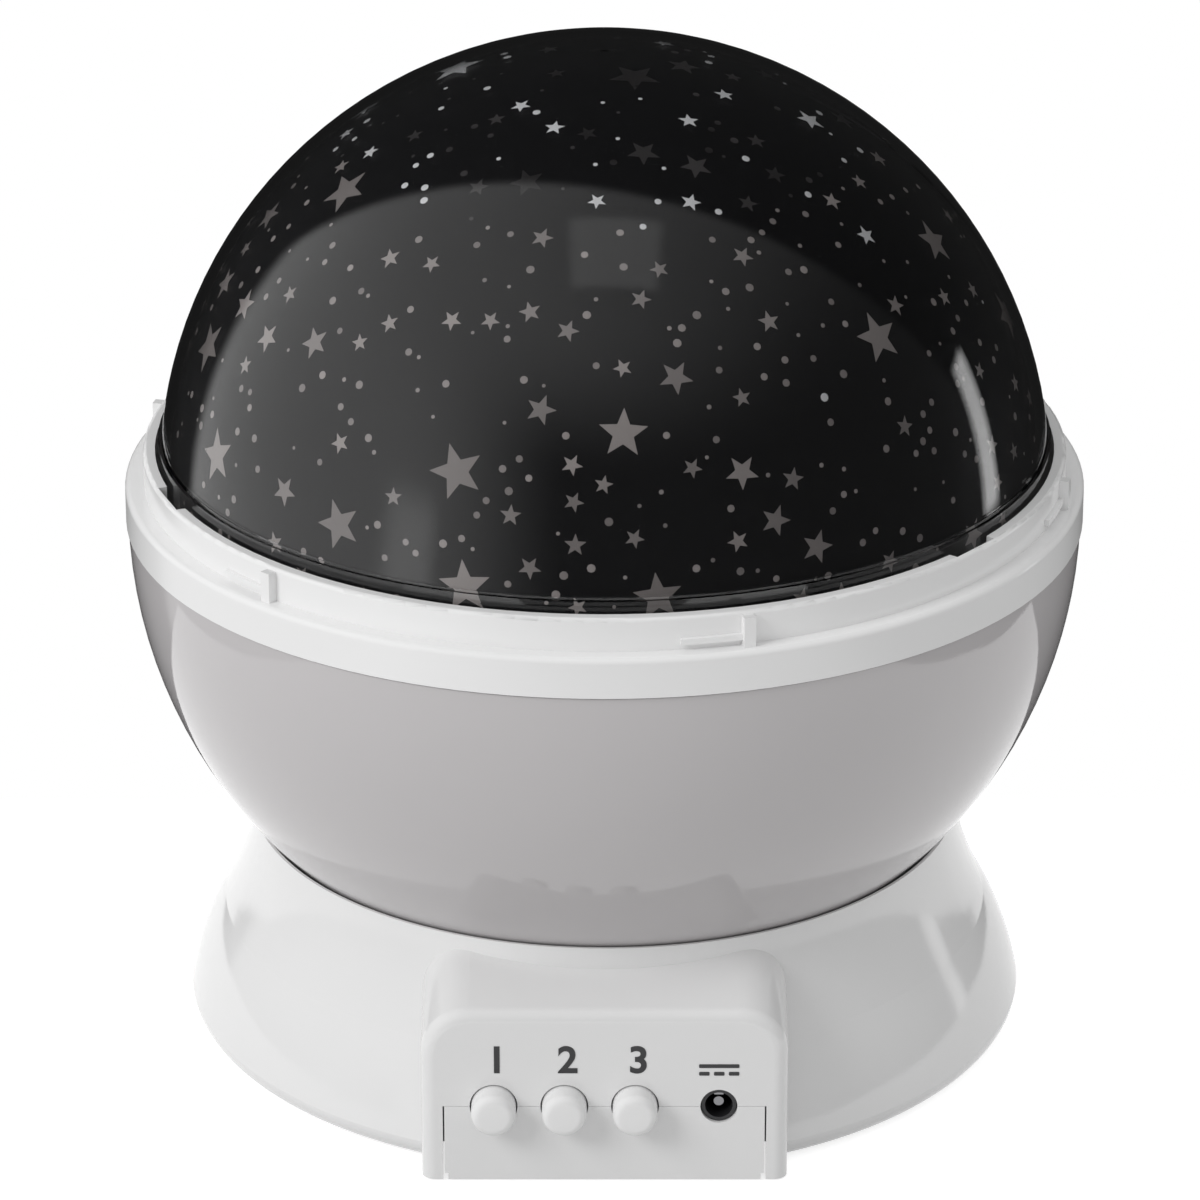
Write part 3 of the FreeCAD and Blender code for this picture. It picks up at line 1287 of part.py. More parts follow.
# Wires held inside the casing: from the cells and the motor to the board, and up the post to the lamps.
def make_wires():
    board = -value("board_back_y")
    wall = value("bay_front") - value("bay_wall")
    level = value("cell_z")
    low = value("plate_low") - value("cable_under_plate")
    post_y = value("lamp_wire_r") + 2 * value("lead_gap") - value("post_in")
    keep(wire_tube("lamp_cable", [
        FreeCAD.Vector(value("cable_x"), board, low),
        FreeCAD.Vector(value("cable_x"), board + value("cable_reach"), low),
        FreeCAD.Vector(value("cable_turn_x"), value("last_y") + value("cable_past_pin"), low),
        FreeCAD.Vector(0, post_y, value("bay_roof") - value("cable_rise")),
        FreeCAD.Vector(0, post_y, value("post_top")),
    ], value("lamp_wire_r")), "lamp_cable")
    side = value("bay_half") - value("lead_r") - value("lead_gap")
    plate_edge = value("bay_front") + value("cell_pitch") / 2 - value("contact_width") / 2
    by_jack = value("jack_x") + value("lead_past_jack")
    keep(wire_tube("battery_lead_1", [
        FreeCAD.Vector(side, plate_edge, level),
        FreeCAD.Vector(side, wall - value("lead_turn"), level),
        FreeCAD.Vector(by_jack, board + value("lead_reach"), level),
        FreeCAD.Vector(by_jack, board, level),
    ], value("lead_r")), "battery_lead_1")
    near = wall - value("lead_close_turn")
    keep(wire_tube("battery_lead_2", [
        FreeCAD.Vector(-side, plate_edge, level),
        FreeCAD.Vector(-side, near, level),
        FreeCAD.Vector(-value("lead_x"), near - value("lead_slant"), level),
        FreeCAD.Vector(-value("lead_board_x"), board + value("lead_long_reach"), level),
        FreeCAD.Vector(-value("lead_board_x"), board, level),
    ], value("lead_r")), "battery_lead_2")
    leads = [
        rod(f"motor_lead_{number}", "lead_r", "motor_y - motor_r - tab_out + board_back_y", x,
            "-board_back_y", "motor_low + motor_height / 2", "y")
        for number, x in enumerate(tab_places())
    ]
    keep(group("motor_lead_pair", leads), "motor_leads")


def check_and_write():
    """Stops if any object failed, then writes each piece to its own file."""
    DOC.recompute()
    failed = [thing.Name for thing in DOC.Objects if {"Invalid", "Error"} & set(thing.State)]
    if failed:
        raise RuntimeError(f"failed objects: {failed}")
    os.makedirs("parts", exist_ok=True)
    for piece in PARTS:
        if piece.Shape.isNull() or not piece.Shape.isValid() or not piece.Shape.Solids:
            raise RuntimeError(f"{piece.Label} has no valid solid")
    for piece in PARTS:
        piece.Shape.exportStep(f"parts/{piece.Label}.step")
    print(len(PARTS), "pieces written")


make_dome()
make_ring()
make_bowl()
make_base()
make_cover()
make_door()
make_cells()
make_controls()
make_inlet()
make_drive()
make_light()
make_wires()
check_and_write()
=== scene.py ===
import bpy
import math
import random
from mathutils import Matrix, Vector


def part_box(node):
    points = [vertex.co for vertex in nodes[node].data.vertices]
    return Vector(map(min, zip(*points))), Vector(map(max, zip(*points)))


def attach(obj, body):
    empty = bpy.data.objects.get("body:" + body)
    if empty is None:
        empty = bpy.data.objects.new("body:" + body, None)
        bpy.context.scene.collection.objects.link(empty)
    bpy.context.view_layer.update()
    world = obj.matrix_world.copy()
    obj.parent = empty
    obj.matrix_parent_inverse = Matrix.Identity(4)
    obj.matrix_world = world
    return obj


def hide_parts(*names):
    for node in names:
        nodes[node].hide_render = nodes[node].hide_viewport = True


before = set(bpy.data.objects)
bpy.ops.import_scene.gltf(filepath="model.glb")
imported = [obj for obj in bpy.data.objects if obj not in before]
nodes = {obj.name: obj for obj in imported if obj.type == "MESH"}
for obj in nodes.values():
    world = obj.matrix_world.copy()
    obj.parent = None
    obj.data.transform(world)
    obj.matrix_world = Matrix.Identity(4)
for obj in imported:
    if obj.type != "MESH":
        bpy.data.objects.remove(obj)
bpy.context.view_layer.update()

# Camera. It stands in front of the panel, 0.8 m from the middle of the projector, and looks down on it
# a little, through a long lens. The photograph's frame is 1200 pixels square, and its middle is a few
# pixels to the left of the projector's axis.
PICTURE = 1200
FOCAL_PIXELS = 5922
AXIS_PIXEL = 604.5
LOOK_AT = Vector((0, 0, 0.05785))
LOOK_DOWN = math.radians(23.13)
DISTANCE = 0.8
NEAREST_SEEN = 0.05

bpy.ops.object.select_all(action="DESELECT")
bpy.ops.object.camera_add()
camera = bpy.context.object
camera.location = LOOK_AT + DISTANCE * Vector((0, -math.cos(LOOK_DOWN), math.sin(LOOK_DOWN)))
camera.rotation_euler = (math.pi / 2 - LOOK_DOWN, 0, 0)
camera.data.lens = camera.data.sensor_width * FOCAL_PIXELS / PICTURE
camera.data.shift_x = (PICTURE / 2 - AXIS_PIXEL) / PICTURE
camera.data.clip_start = NEAREST_SEEN
bpy.context.scene.camera = camera
bpy.context.scene.view_settings.view_transform = "Standard"

# Studio. The camera sees a small white table against plain white. Mirror rays see the table in a dim room
# instead, grey on the left and dark behind and under the ceiling, with three light patches, and the table
# ends close behind the projector, so that the gloss has dark edges as on the real one.
AMBIENT = 0.58
ROOM_LEAST = 0.015
CEILING_AXIS = (0.205, 0.89, 0.408)
CEILING_EDGE = (0.52, 0.56)
REAR_EDGE = (0.58, 0.66)
LEFT_EDGE = (0.15, 0.85)
HIGH_EDGE = (0.35, 0.90)
LOW_GREY = 0.03
LOW_GREY_LEFT = 0.62
HIGH_GREY = 0.33
HIGH_GREY_SLOPE = 0.32
# Each light patch: how light it is, the side of the room that it is on, the two cosines between which that
# side begins, and in two directions its middle, half width and soft edge.
PALE_WALL = (0.5, (0, -1, 0), (0.1, 0.3), ("X", -0.76, 0.07, 0.04), ("Z", -0.10, 0.25, 0.12))
WINDOW = (0.28, (0, 0, 1), (0.0, 0.1), ("X", 0.04, 0.17, 0.03), ("Y", -0.17, 0.17, 0.03))
BRIGHT_STRIP = (1.9, (1, 0, 0), (0.0, 0.1), ("Y", 0.42, 0.05, 0.015), ("Z", -0.05, 0.19, 0.015))
TABLE_FRONT = -0.24
TABLE_BACK = 0.06
TABLE_HALF = 0.18
TABLE_GREY = (0.62, 0.62, 0.62, 1)
TABLE_GLOW = 0.74
# A Mix node's sockets: its share, and the two numbers that it mixes.
MIX_NUMBERS = (0, 2, 3)


def fill(tree, socket, content):
    """Links a node's output to a socket, or sets the socket's own value."""
    if hasattr(content, "is_output"):
        tree.links.new(content, socket)
    else:
        socket.default_value = content


def add_node(tree, kind, **values):
    """A node with some of its sockets or settings filled in."""
    node = tree.nodes.new(kind)
    for name, content in values.items():
        socket = node.inputs.get(name.replace("_", " "))
        if socket is None:
            setattr(node, name, content)
        else:
            fill(tree, socket, content)
    return node


def math_node(tree, operation, first, second=0.0):
    """The outcome of one sum with one or two numbers."""
    node = tree.nodes.new("ShaderNodeMath")
    node.operation = operation
    for socket, content in zip(node.inputs, (first, second)):
        fill(tree, socket, content)
    return node.outputs[0]


def mix_numbers(tree, share, first, second):
    """The first number where the share is 0, and the second where it is 1."""
    node = tree.nodes.new("ShaderNodeMix")
    for socket, content in zip(MIX_NUMBERS, (share, first, second)):
        fill(tree, node.inputs[socket], content)
    return node.outputs[0]


def smooth_step(tree, number, low, high):
    """0 to 1 as a number goes from low to high, softly at both ends."""
    ramp = tree.nodes.new("ShaderNodeMapRange")
    ramp.interpolation_type = "SMOOTHSTEP"
    tree.links.new(number, ramp.inputs["Value"])
    ramp.inputs["From Min"].default_value = low
    ramp.inputs["From Max"].default_value = high
    return ramp.outputs["Result"]


def seen_directly(tree):
    """1 for the camera's rays, mirror rays and rays through glass, and 0 for the rays that light things."""
    path = tree.nodes.new("ShaderNodeLightPath")
    mirrored = math_node(tree, "MAXIMUM", path.outputs["Is Glossy Ray"],
                         path.outputs["Is Transmission Ray"])
    return math_node(tree, "MAXIMUM", path.outputs["Is Camera Ray"], mirrored)


def facing(tree, direction, axis, low, high):
    """0 to 1 as a direction turns towards an axis, between two cosines."""
    dot = tree.nodes.new("ShaderNodeVectorMath")
    dot.operation = "DOT_PRODUCT"
    tree.links.new(direction, dot.inputs[0])
    dot.inputs[1].default_value = Vector(axis).normalized()
    return smooth_step(tree, dot.outputs["Value"], low, high)


def between(tree, number, middle, half, edge):
    """1 where a number is within a half width of a middle, fading out over an edge."""
    away = math_node(tree, "ABSOLUTE", math_node(tree, "SUBTRACT", number, middle))
    return smooth_step(tree, away, half + edge, half - edge)


world = bpy.data.worlds.new("studio")
bpy.context.scene.world = world
world.use_nodes = True
tree = world.node_tree
tree.nodes.clear()
direction = tree.nodes.new("ShaderNodeTexCoord").outputs["Generated"]
along = add_node(tree, "ShaderNodeSeparateXYZ", Vector=direction)
below_ceiling = math_node(tree, "SUBTRACT", 1.0, facing(tree, direction, CEILING_AXIS, *CEILING_EDGE))
in_front = math_node(tree, "SUBTRACT", 1.0, facing(tree, direction, (0, 1, 0), *REAR_EDGE))
left_side = facing(tree, direction, (-1, 0, 0), *LEFT_EDGE)
high_up = facing(tree, direction, (0, 0, 1), *HIGH_EDGE)
low_grey = math_node(tree, "ADD", LOW_GREY, math_node(tree, "MULTIPLY", left_side, LOW_GREY_LEFT))
high_grey = math_node(tree, "SUBTRACT", HIGH_GREY,
                      math_node(tree, "MULTIPLY", along.outputs["X"], HIGH_GREY_SLOPE))
room = math_node(tree, "MULTIPLY", math_node(tree, "MULTIPLY", below_ceiling, in_front),
                 mix_numbers(tree, high_up, low_grey, high_grey))
for light, side, side_edge, *spans in (PALE_WALL, WINDOW, BRIGHT_STRIP):
    wide, tall = (between(tree, along.outputs[axis], *span) for axis, *span in spans)
    patch = math_node(tree, "MULTIPLY", math_node(tree, "MULTIPLY", wide, tall),
                      facing(tree, direction, side, *side_edge))
    room = math_node(tree, "ADD", room, math_node(tree, "MULTIPLY", patch, light))
room = math_node(tree, "ADD", room, ROOM_LEAST)
path = tree.nodes.new("ShaderNodeLightPath")
seen = mix_numbers(tree, path.outputs["Is Glossy Ray"], 1.0, room)
level = mix_numbers(tree, seen_directly(tree), AMBIENT, seen)
background = add_node(tree, "ShaderNodeBackground", Color=(1, 1, 1, 1), Strength=level)
output = tree.nodes.new("ShaderNodeOutputWorld")
tree.links.new(background.outputs[0], output.inputs["Surface"])

bpy.ops.object.select_all(action="DESELECT")
bpy.ops.mesh.primitive_plane_add(size=1.0, location=(0, (TABLE_FRONT + TABLE_BACK) / 2, 0))
table = bpy.context.object
table.name = "table"
table.scale = (2 * TABLE_HALF, TABLE_BACK - TABLE_FRONT, 1)
# The table's own glow is only for the rays that see it, so it adds no light and keeps the shadow.
paper = bpy.data.materials.new("table_paper")
paper.use_nodes = True
tree = paper.node_tree
tree.nodes.clear()
matt = add_node(tree, "ShaderNodeBsdfDiffuse", Color=TABLE_GREY)
glow = add_node(tree, "ShaderNodeEmission",
                Strength=math_node(tree, "MULTIPLY", seen_directly(tree), TABLE_GLOW))
both = tree.nodes.new("ShaderNodeAddShader")
tree.links.new(matt.outputs[0], both.inputs[0])
tree.links.new(glow.outputs[0], both.inputs[1])
output = tree.nodes.new("ShaderNodeOutputMaterial")
tree.links.new(both.outputs[0], output.inputs["Surface"])
table.data.materials.append(paper)


def soft_lamp(name, place, size, watts):
    """A soft box that points at the projector. Gloss and glass don't show it."""
    bpy.ops.object.light_add(type="AREA", location=place)
    lamp = bpy.context.object
    lamp.name = name
    lamp.rotation_euler = (LOOK_AT - Vector(place)).to_track_quat("-Z", "Y").to_euler()
    lamp.data.shape = "RECTANGLE"
    lamp.data.size, lamp.data.size_y = size
    lamp.data.energy = watts
    lamp.visible_glossy = False
    lamp.visible_transmission = False


soft_lamp("left_box", place=(-1.1, -0.75, 1.0), size=(0.7, 0.7), watts=11.0)
soft_lamp("right_box", place=(1.2, 0.3, 0.9), size=(0.35, 0.9), watts=1.6)

# Moulded surface. Every plastic part has the faint waviness and grain of its mould, as height and as
# small changes in gloss and shade. One node group makes it, and each material sets its own amounts.
GRAIN_HEIGHT = 0.0001
WAVE_HEIGHT = 0.002

moulded = bpy.data.node_groups.new("moulded_surface", "ShaderNodeTree")
for name, amount in (
    ("Gloss", 0.2), ("Gloss Change", 0.06), ("Shade Change", 0.03), ("Grain", 0.05), ("Waves", 0.05),
):
    socket = moulded.interface.new_socket(name=name, in_out="INPUT", socket_type="NodeSocketFloat")
    socket.default_value = amount
for name, kind in (
    ("Roughness", "NodeSocketFloat"), ("Shade", "NodeSocketFloat"), ("Normal", "NodeSocketVector"),
):
    moulded.interface.new_socket(name=name, in_out="OUTPUT", socket_type=kind)
given = moulded.nodes.new("NodeGroupInput")
made = moulded.nodes.new("NodeGroupOutput")
where = moulded.nodes.new("ShaderNodeTexCoord").outputs["Object"]
flow = add_node(moulded, "ShaderNodeTexNoise", Vector=where, Scale=34.0, Detail=3.0, Roughness=0.55)
fine = add_node(moulded, "ShaderNodeTexNoise", Vector=where, Scale=1900.0, Detail=2.0, Roughness=0.5)
broad = add_node(moulded, "ShaderNodeTexNoise", Vector=where, Scale=75.0, Detail=1.0, Roughness=0.4)
swing = math_node(moulded, "SUBTRACT", flow.outputs[0], 0.5)
gloss = math_node(moulded, "ADD", given.outputs["Gloss"],
                  math_node(moulded, "MULTIPLY", swing, given.outputs["Gloss Change"]))
moulded.links.new(gloss, made.inputs["Roughness"])
shade = math_node(moulded, "ADD", 1.0,
                  math_node(moulded, "MULTIPLY", swing, given.outputs["Shade Change"]))
moulded.links.new(shade, made.inputs["Shade"])
grain = add_node(moulded, "ShaderNodeBump", Height=fine.outputs[0], Strength=given.outputs["Grain"],
                 Distance=GRAIN_HEIGHT)
waves = add_node(moulded, "ShaderNodeBump", Height=broad.outputs[0], Strength=given.outputs["Waves"],
                 Distance=WAVE_HEIGHT, Normal=grain.outputs[0])
moulded.links.new(waves.outputs[0], made.inputs["Normal"])


def plastic(name, colour, gloss, gloss_change=0.06, shade_change=0.04, grain=0.05, waves=0.03, ior=1.5):
    """A moulded plastic: one colour, with the mould's own changes of gloss, shade and height."""
    material = bpy.data.materials.new(name)
    material.use_nodes = True
    tree = material.node_tree
    shader = tree.nodes["Principled BSDF"]
    shader.inputs["IOR"].default_value = ior
    surface = tree.nodes.new("ShaderNodeGroup")
    surface.node_tree = moulded
    for socket, amount in (
        ("Gloss", gloss), ("Gloss Change", gloss_change), ("Shade Change", shade_change),
        ("Grain", grain), ("Waves", waves),
    ):
        surface.inputs[socket].default_value = amount
    tint = tree.nodes.new("ShaderNodeVectorMath")
    tint.operation = "SCALE"
    tint.inputs[0].default_value = colour
    tree.links.new(surface.outputs["Shade"], tint.inputs["Scale"])
    tree.links.new(tint.outputs[0], shader.inputs["Base Color"])
    tree.links.new(surface.outputs["Roughness"], shader.inputs["Roughness"])
    tree.links.new(surface.outputs["Normal"], shader.inputs["Normal"])
    return material


def dress(material, *names):
    """Gives carried-over nodes one material."""
    for name in names:
        nodes[name].data.materials.clear()
        nodes[name].data.materials.append(material)


# Base shell, bottom cover and battery door. White ABS mouldings with a glossy skin. Screws from below hold
# the cover under the shell, and the door swings down from the cover.
white = plastic("white_abs", (0.84, 0.84, 0.84), gloss=0.10, gloss_change=0.08, waves=0.05)
dress(white, "base_shell", "bottom_cover", "battery_door")

# Collar ring. The same white ABS as the base, moulded a little brighter and smoother. It closes the top of
# the bowl, and the dome turns into it.
ring_white = plastic("ring_abs", (0.90, 0.90, 0.90), gloss=0.18, waves=0.03)
dress(ring_white, "collar_ring")

# Bowl shell. A warm grey ABS moulding with a glossy skin. It stands in the neck of the base and turns there
# with its gear.
bowl_grey = plastic("bowl_abs", (0.56, 0.541, 0.547), gloss=0.05, gloss_change=0.04, grain=0.02, waves=0.04)
dress(bowl_grey, "bowl_shell")

# Push buttons. Three small white ABS caps with well rounded faces and a flange behind the panel. One is
# modelled as a stem, with its face rounded over and the flange stepped out behind, and the others are
# copies of it.
CAP_RADIUS = 0.0029
CAP_ROUND = 0.0011
CAP_FLANGE = 0.001
STRAIGHT_ON = 0.9
SMOOTH_BELOW = math.radians(40)


def select_faces(piece, wanted):
    """Edit mode on a piece with only its wanted faces selected."""
    bpy.ops.object.mode_set(mode="EDIT")
    bpy.ops.mesh.select_mode(type="FACE")
    bpy.ops.mesh.select_all(action="DESELECT")
    bpy.ops.object.mode_set(mode="OBJECT")
    for face in piece.data.polygons:
        face.select = wanted(face)
    bpy.ops.object.mode_set(mode="EDIT")


def copy_along_panel(piece, name, step):
    """A copy of a piece with its own mesh, moved to the right along the panel."""
    copy = bpy.data.objects.new(name, piece.data.copy())
    bpy.context.collection.objects.link(copy)
    copy.data.transform(Matrix.Translation((step, 0, 0)))
    return copy


button_white = plastic("button_abs", (0.88, 0.88, 0.88), gloss=0.22, waves=0.0)
cap_low, cap_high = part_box("button_cap_1")
length = cap_high[1] - cap_low[1] - CAP_FLANGE
stem = ((cap_low[0] + cap_high[0]) / 2, cap_low[1] + length / 2, (cap_low[2] + cap_high[2]) / 2)
step_out = (cap_high[0] - cap_low[0]) / 2 / CAP_RADIUS
bpy.ops.object.select_all(action="DESELECT")
bpy.ops.mesh.primitive_cylinder_add(vertices=64, radius=CAP_RADIUS, depth=length, location=stem,
                                    rotation=(math.pi / 2, 0, 0))
cap = bpy.context.object
cap.name = "button_1"
bpy.ops.object.transform_apply(location=True, rotation=True, scale=True)
select_faces(cap, lambda face: face.normal.y > STRAIGHT_ON)
bpy.ops.mesh.extrude_region_move()
bpy.ops.transform.resize(value=(step_out, 1, step_out),
                         center_override=(stem[0], cap_high[1] - CAP_FLANGE, stem[2]))
bpy.ops.mesh.extrude_region_move(TRANSFORM_OT_translate={"value": (0, CAP_FLANGE, 0)})
select_faces(cap, lambda face: face.normal.y < -STRAIGHT_ON and face.center.y < stem[1])
bpy.ops.mesh.bevel(offset=CAP_ROUND, segments=10, profile=0.5, affect="EDGES")
bpy.ops.object.mode_set(mode="OBJECT")
bpy.ops.object.shade_smooth_by_angle(angle=SMOOTH_BELOW)
cap.data.materials.append(button_white)
caps = [cap]
for number in (2, 3):
    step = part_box(f"button_cap_{number}")[0][0] - cap_low[0]
    caps.append(copy_along_panel(cap, f"button_{number}", step))
for number, copy in enumerate(caps, 1):
    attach(copy, f"button_{number}")
    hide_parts(f"button_cap_{number}")


# Parts inside the casing. Nylon and acetal mouldings, printed boards, rubber pads, sleeved cells, leads and
# plated metal, in the finishes that they are bought in; only the inlet's pin and contact are darkened, as
# painted shade. They are screwed, pressed or laid in their places.
def metal(name, colour, gloss):
    """A metal, with the same faint changes of gloss, shade and height."""
    material = plastic(name, colour, gloss)
    material.node_tree.nodes["Principled BSDF"].inputs["Metallic"].default_value = 1.0
    return material


black = plastic("black_nylon", (0.02, 0.02, 0.022), gloss=0.45, grain=0.15)
dress(black, "dc_socket", "gear_plate", "light_post", "control_chip", "push_switch_1", "push_switch_2",
      "push_switch_3", "switch_plunger_1", "switch_plunger_2", "switch_plunger_3")
acetal = plastic("natural_acetal", (0.78, 0.77, 0.72), gloss=0.35)
dress(acetal, "bowl_gear", "thrust_washer", "motor_pinion", "reduction_gear_1", "reduction_gear_2")
green = plastic("board_mask", (0.03, 0.16, 0.07), gloss=0.35)
dress(green, "circuit_board", "lamp_board")
pad_rubber = plastic("pad_rubber", (0.05, 0.05, 0.052), gloss=0.6, grain=0.3)
dress(pad_rubber, "foot_1", "foot_2", "foot_3", "foot_4")
sleeve = plastic("cell_sleeve", (0.10, 0.14, 0.22), gloss=0.3)
dress(sleeve, "battery_1", "battery_2", "battery_3", "battery_4")
red_wire = plastic("red_wire", (0.45, 0.03, 0.03), gloss=0.4)
dress(red_wire, "battery_lead_1")
grey_wire = plastic("grey_wire", (0.25, 0.25, 0.26), gloss=0.4)
dress(grey_wire, "battery_lead_2", "lamp_cable", "motor_leads")
steel = metal("plated_steel", (0.62, 0.62, 0.63), gloss=0.3)
dress(steel, "battery_contacts_left", "battery_contacts_right", "cover_screws", "hub_screws",
      "motor_screws", "plate_screws", "post_screws", "gear_axle_1", "gear_axle_2", "motor_shaft", "motor")
# Painted shade: the inlet's pin and contact are a darkened nickel, so that they stay as dark as the shade
# deep in the inlet.
inlet_shade_nickel = metal("nickel_painted_shade", (0.25, 0.25, 0.26), gloss=0.4)
dress(inlet_shade_nickel, "dc_socket_pin", "dc_socket_contact")
lamp_clear = plastic("lamp_epoxy", (0.85, 0.87, 0.9), gloss=0.08)
dress(lamp_clear, "lamp_1", "lamp_2", "lamp_3", "lamp_4")

# Dome shell. Clear polycarbonate over the film, turned into the collar ring. The studio's light reaches the
# film through it. Towards its outline the colour seen through it is darkened by the viewing angle, a painted
# shade that gives it a dark rim.
DOME_ROUGHNESS = 0.015
DOME_IOR = 1.5
DOME_TINT = (0.97, 0.97, 0.97, 1)
RIM_PAINTED_SHADE = (0.06, 0.06, 0.065, 1)
PAINTED_RIM_EDGE = (0.60, 0.88)
LET_THROUGH = (0.92, 0.92, 0.92, 1)
# A Mix node's sockets for colours: its share, and the two colours that it mixes. It gives them by output 2.
MIX_COLOURS = (0, 6, 7)
MIXED_COLOUR = 2

clear = bpy.data.materials.new("clear_polycarbonate")
clear.use_nodes = True
tree = clear.node_tree
shader = tree.nodes["Principled BSDF"]
# Painted shade: the see-through colour goes from clear to nearly black as the surface turns away at the
# outline.
edge = add_node(tree, "ShaderNodeLayerWeight", Blend=0.5)
painted_rim_share = smooth_step(tree, edge.outputs["Facing"], *PAINTED_RIM_EDGE)
tint = tree.nodes.new("ShaderNodeMix")
tint.data_type = "RGBA"
for socket, content in zip(MIX_COLOURS, (painted_rim_share, DOME_TINT, RIM_PAINTED_SHADE)):
    fill(tree, tint.inputs[socket], content)
tree.links.new(tint.outputs[MIXED_COLOUR], shader.inputs["Base Color"])
shader.inputs["Roughness"].default_value = DOME_ROUGHNESS
shader.inputs["IOR"].default_value = DOME_IOR
shader.inputs["Transmission Weight"].default_value = 1.0
through = add_node(tree, "ShaderNodeBsdfTransparent", Color=LET_THROUGH)
path = tree.nodes.new("ShaderNodeLightPath")
mixed = tree.nodes.new("ShaderNodeMixShader")
tree.links.new(path.outputs["Is Shadow Ray"], mixed.inputs[0])
tree.links.new(shader.outputs[0], mixed.inputs[1])
tree.links.new(through.outputs[0], mixed.inputs[2])
tree.links.new(mixed.outputs[0], tree.nodes["Material Output"].inputs["Surface"])
dress(clear, "dome_shell")

# Star film. A black printed film, formed to the dome and held close under it. Its stars and dots are left
# clear in the print.
film_black = plastic("film_black", (0.008, 0.008, 0.009), gloss=0.5, grain=0.0, waves=0.0, ior=1.2)
dress(film_black, "star_film")

# Clear windows. The stars and dots left clear in the film's print, a few hundredths of a millimetre proud
# of it. One star and one dot are drawn, then copied over the film, curved to it and given their thickness.
EQUATOR = 0.07635
FILM_RADIUS = 0.05805
FILM_BOTTOM = 0.0765
PRINT_LOW = 0.000003
PRINT_THICK = 0.000022
STAR_CORNERS = 10
DOT_CORNERS = 8
NOTCH_DEPTH = 0.43
INNER_RING = 0.5
POLE_FREE = 0.995
SEED = 7
TRIES_EACH = 40
# Each kind of mark: its smallest and largest half width, how many there are, and the space left round one.
MARKS = (
    ("star", 0.0031, 0.0037, 26, 0.0035),
    ("star", 0.0019, 0.0023, 44, 0.0020),
    ("star", 0.0012, 0.0015, 160, 0.0011),
    ("dot", 0.00042, 0.00055, 380, 0.0009),
    ("dot", 0.00022, 0.00030, 240, 0.0006),
)
# Above this height on the film, as a share of its radius, more windows get a painted glint and the rest a
# painted shade, nearly black; below it most windows are a random grey.
PAINTED_LIGHT_HEIGHT = 0.80
PAINTED_GLINTS_BELOW = 0.02
PAINTED_GLINTS_ABOVE = 0.42
GREY_FROM = 0.45
GREY_RANGE = 0.35
PAINTED_SHADE_BLACK = (0.012, 0.011, 0.012, 1)
PAINTED_GLINT_WHITE = (0.92, 0.93, 0.95, 1)
TONES_AND_PAINTED_SHADE = ((0.35, (0.07, 0.066, 0.067, 1)), (0.45, (0.26, 0.238, 0.233, 1)), (0.80, (0.46, 0.42, 0.41, 1)))


def flat_mark(name, corners, notch):
    """A flat star or dot of unit reach: an outer ring, an inner ring and a middle point."""
    bpy.ops.object.select_all(action="DESELECT")
    bpy.ops.mesh.primitive_circle_add(vertices=corners, radius=1.0, fill_type="NGON")
    mark = bpy.context.object
    mark.name = name
    bpy.ops.object.mode_set(mode="EDIT")
    bpy.ops.mesh.select_mode(type="VERT")
    bpy.ops.mesh.select_all(action="DESELECT")
    bpy.ops.object.mode_set(mode="OBJECT")
    for number, point in enumerate(mark.data.vertices):
        point.select = number % 2 == 1
    bpy.ops.object.mode_set(mode="EDIT")
    bpy.ops.transform.resize(value=(notch, notch, 1), center_override=(0, 0, 0))
    bpy.ops.mesh.select_all(action="SELECT")
    bpy.ops.mesh.select_mode(type="FACE")
    bpy.ops.mesh.extrude_region_move()
    bpy.ops.transform.resize(value=(INNER_RING, INNER_RING, 1), center_override=(0, 0, 0))
    bpy.ops.mesh.poke()
    bpy.ops.object.mode_set(mode="OBJECT")
    return mark


def scatter(draw):
    """Places for the marks: (direction, half width, kind), large ones first and none touching."""
    placed = []
    lowest = (FILM_BOTTOM - EQUATOR) / FILM_RADIUS
    for kind, small, large, count, space in MARKS:
        tries = 0
        made = 0
        while made < count and tries < TRIES_EACH * count:
            tries += 1
            half = draw.uniform(small, large)
            height = draw.uniform(lowest + half / FILM_RADIUS, POLE_FREE)
            around = draw.uniform(0, math.tau)
            flat = math.sqrt(1 - height * height)
            spot = Vector((flat * math.cos(around), flat * math.sin(around), height))
            if any((spot - other).length * FILM_RADIUS < half + reach + space for other, reach, _ in placed):
                continue
            placed.append((spot, half, kind))
            made += 1
    return placed


def lit(draw, height):
    """A window's tone: random grey low down, and high up a painted shade, nearly black; here and there a
    painted glint.
    """
    glint_draw = draw.random()
    grey = draw.uniform(0.0, 1.0)
    if height < PAINTED_LIGHT_HEIGHT:
        return 1.0 if glint_draw < PAINTED_GLINTS_BELOW else GREY_FROM + GREY_RANGE * grey
    return 1.0 if glint_draw < PAINTED_GLINTS_ABOVE else GREY_RANGE * grey


flat_marks = {
    "star": flat_mark("flat_star", STAR_CORNERS, NOTCH_DEPTH),
    "dot": flat_mark("flat_dot", DOT_CORNERS, 1.0),
}
draw = random.Random(SEED)
bpy.ops.object.select_all(action="DESELECT")
for spot, half, kind in scatter(draw):
    mesh = flat_marks[kind].data.copy()
    outwards = spot.to_track_quat("Z", "Y").to_matrix().to_4x4()
    turn = outwards @ Matrix.Rotation(draw.uniform(0, math.tau), 4, "Z")
    mesh.transform(Matrix.Translation(spot * FILM_RADIUS) @ turn @ Matrix.Scale(half, 4))
    tone_and_painted_light = mesh.attributes.new("tone_and_painted_light", "FLOAT", "FACE")
    tone_and_painted_light.data.foreach_set("value", [lit(draw, spot.z)] * len(mesh.polygons))
    mark = bpy.data.objects.new("mark", mesh)
    bpy.context.collection.objects.link(mark)
    mark.select_set(True)
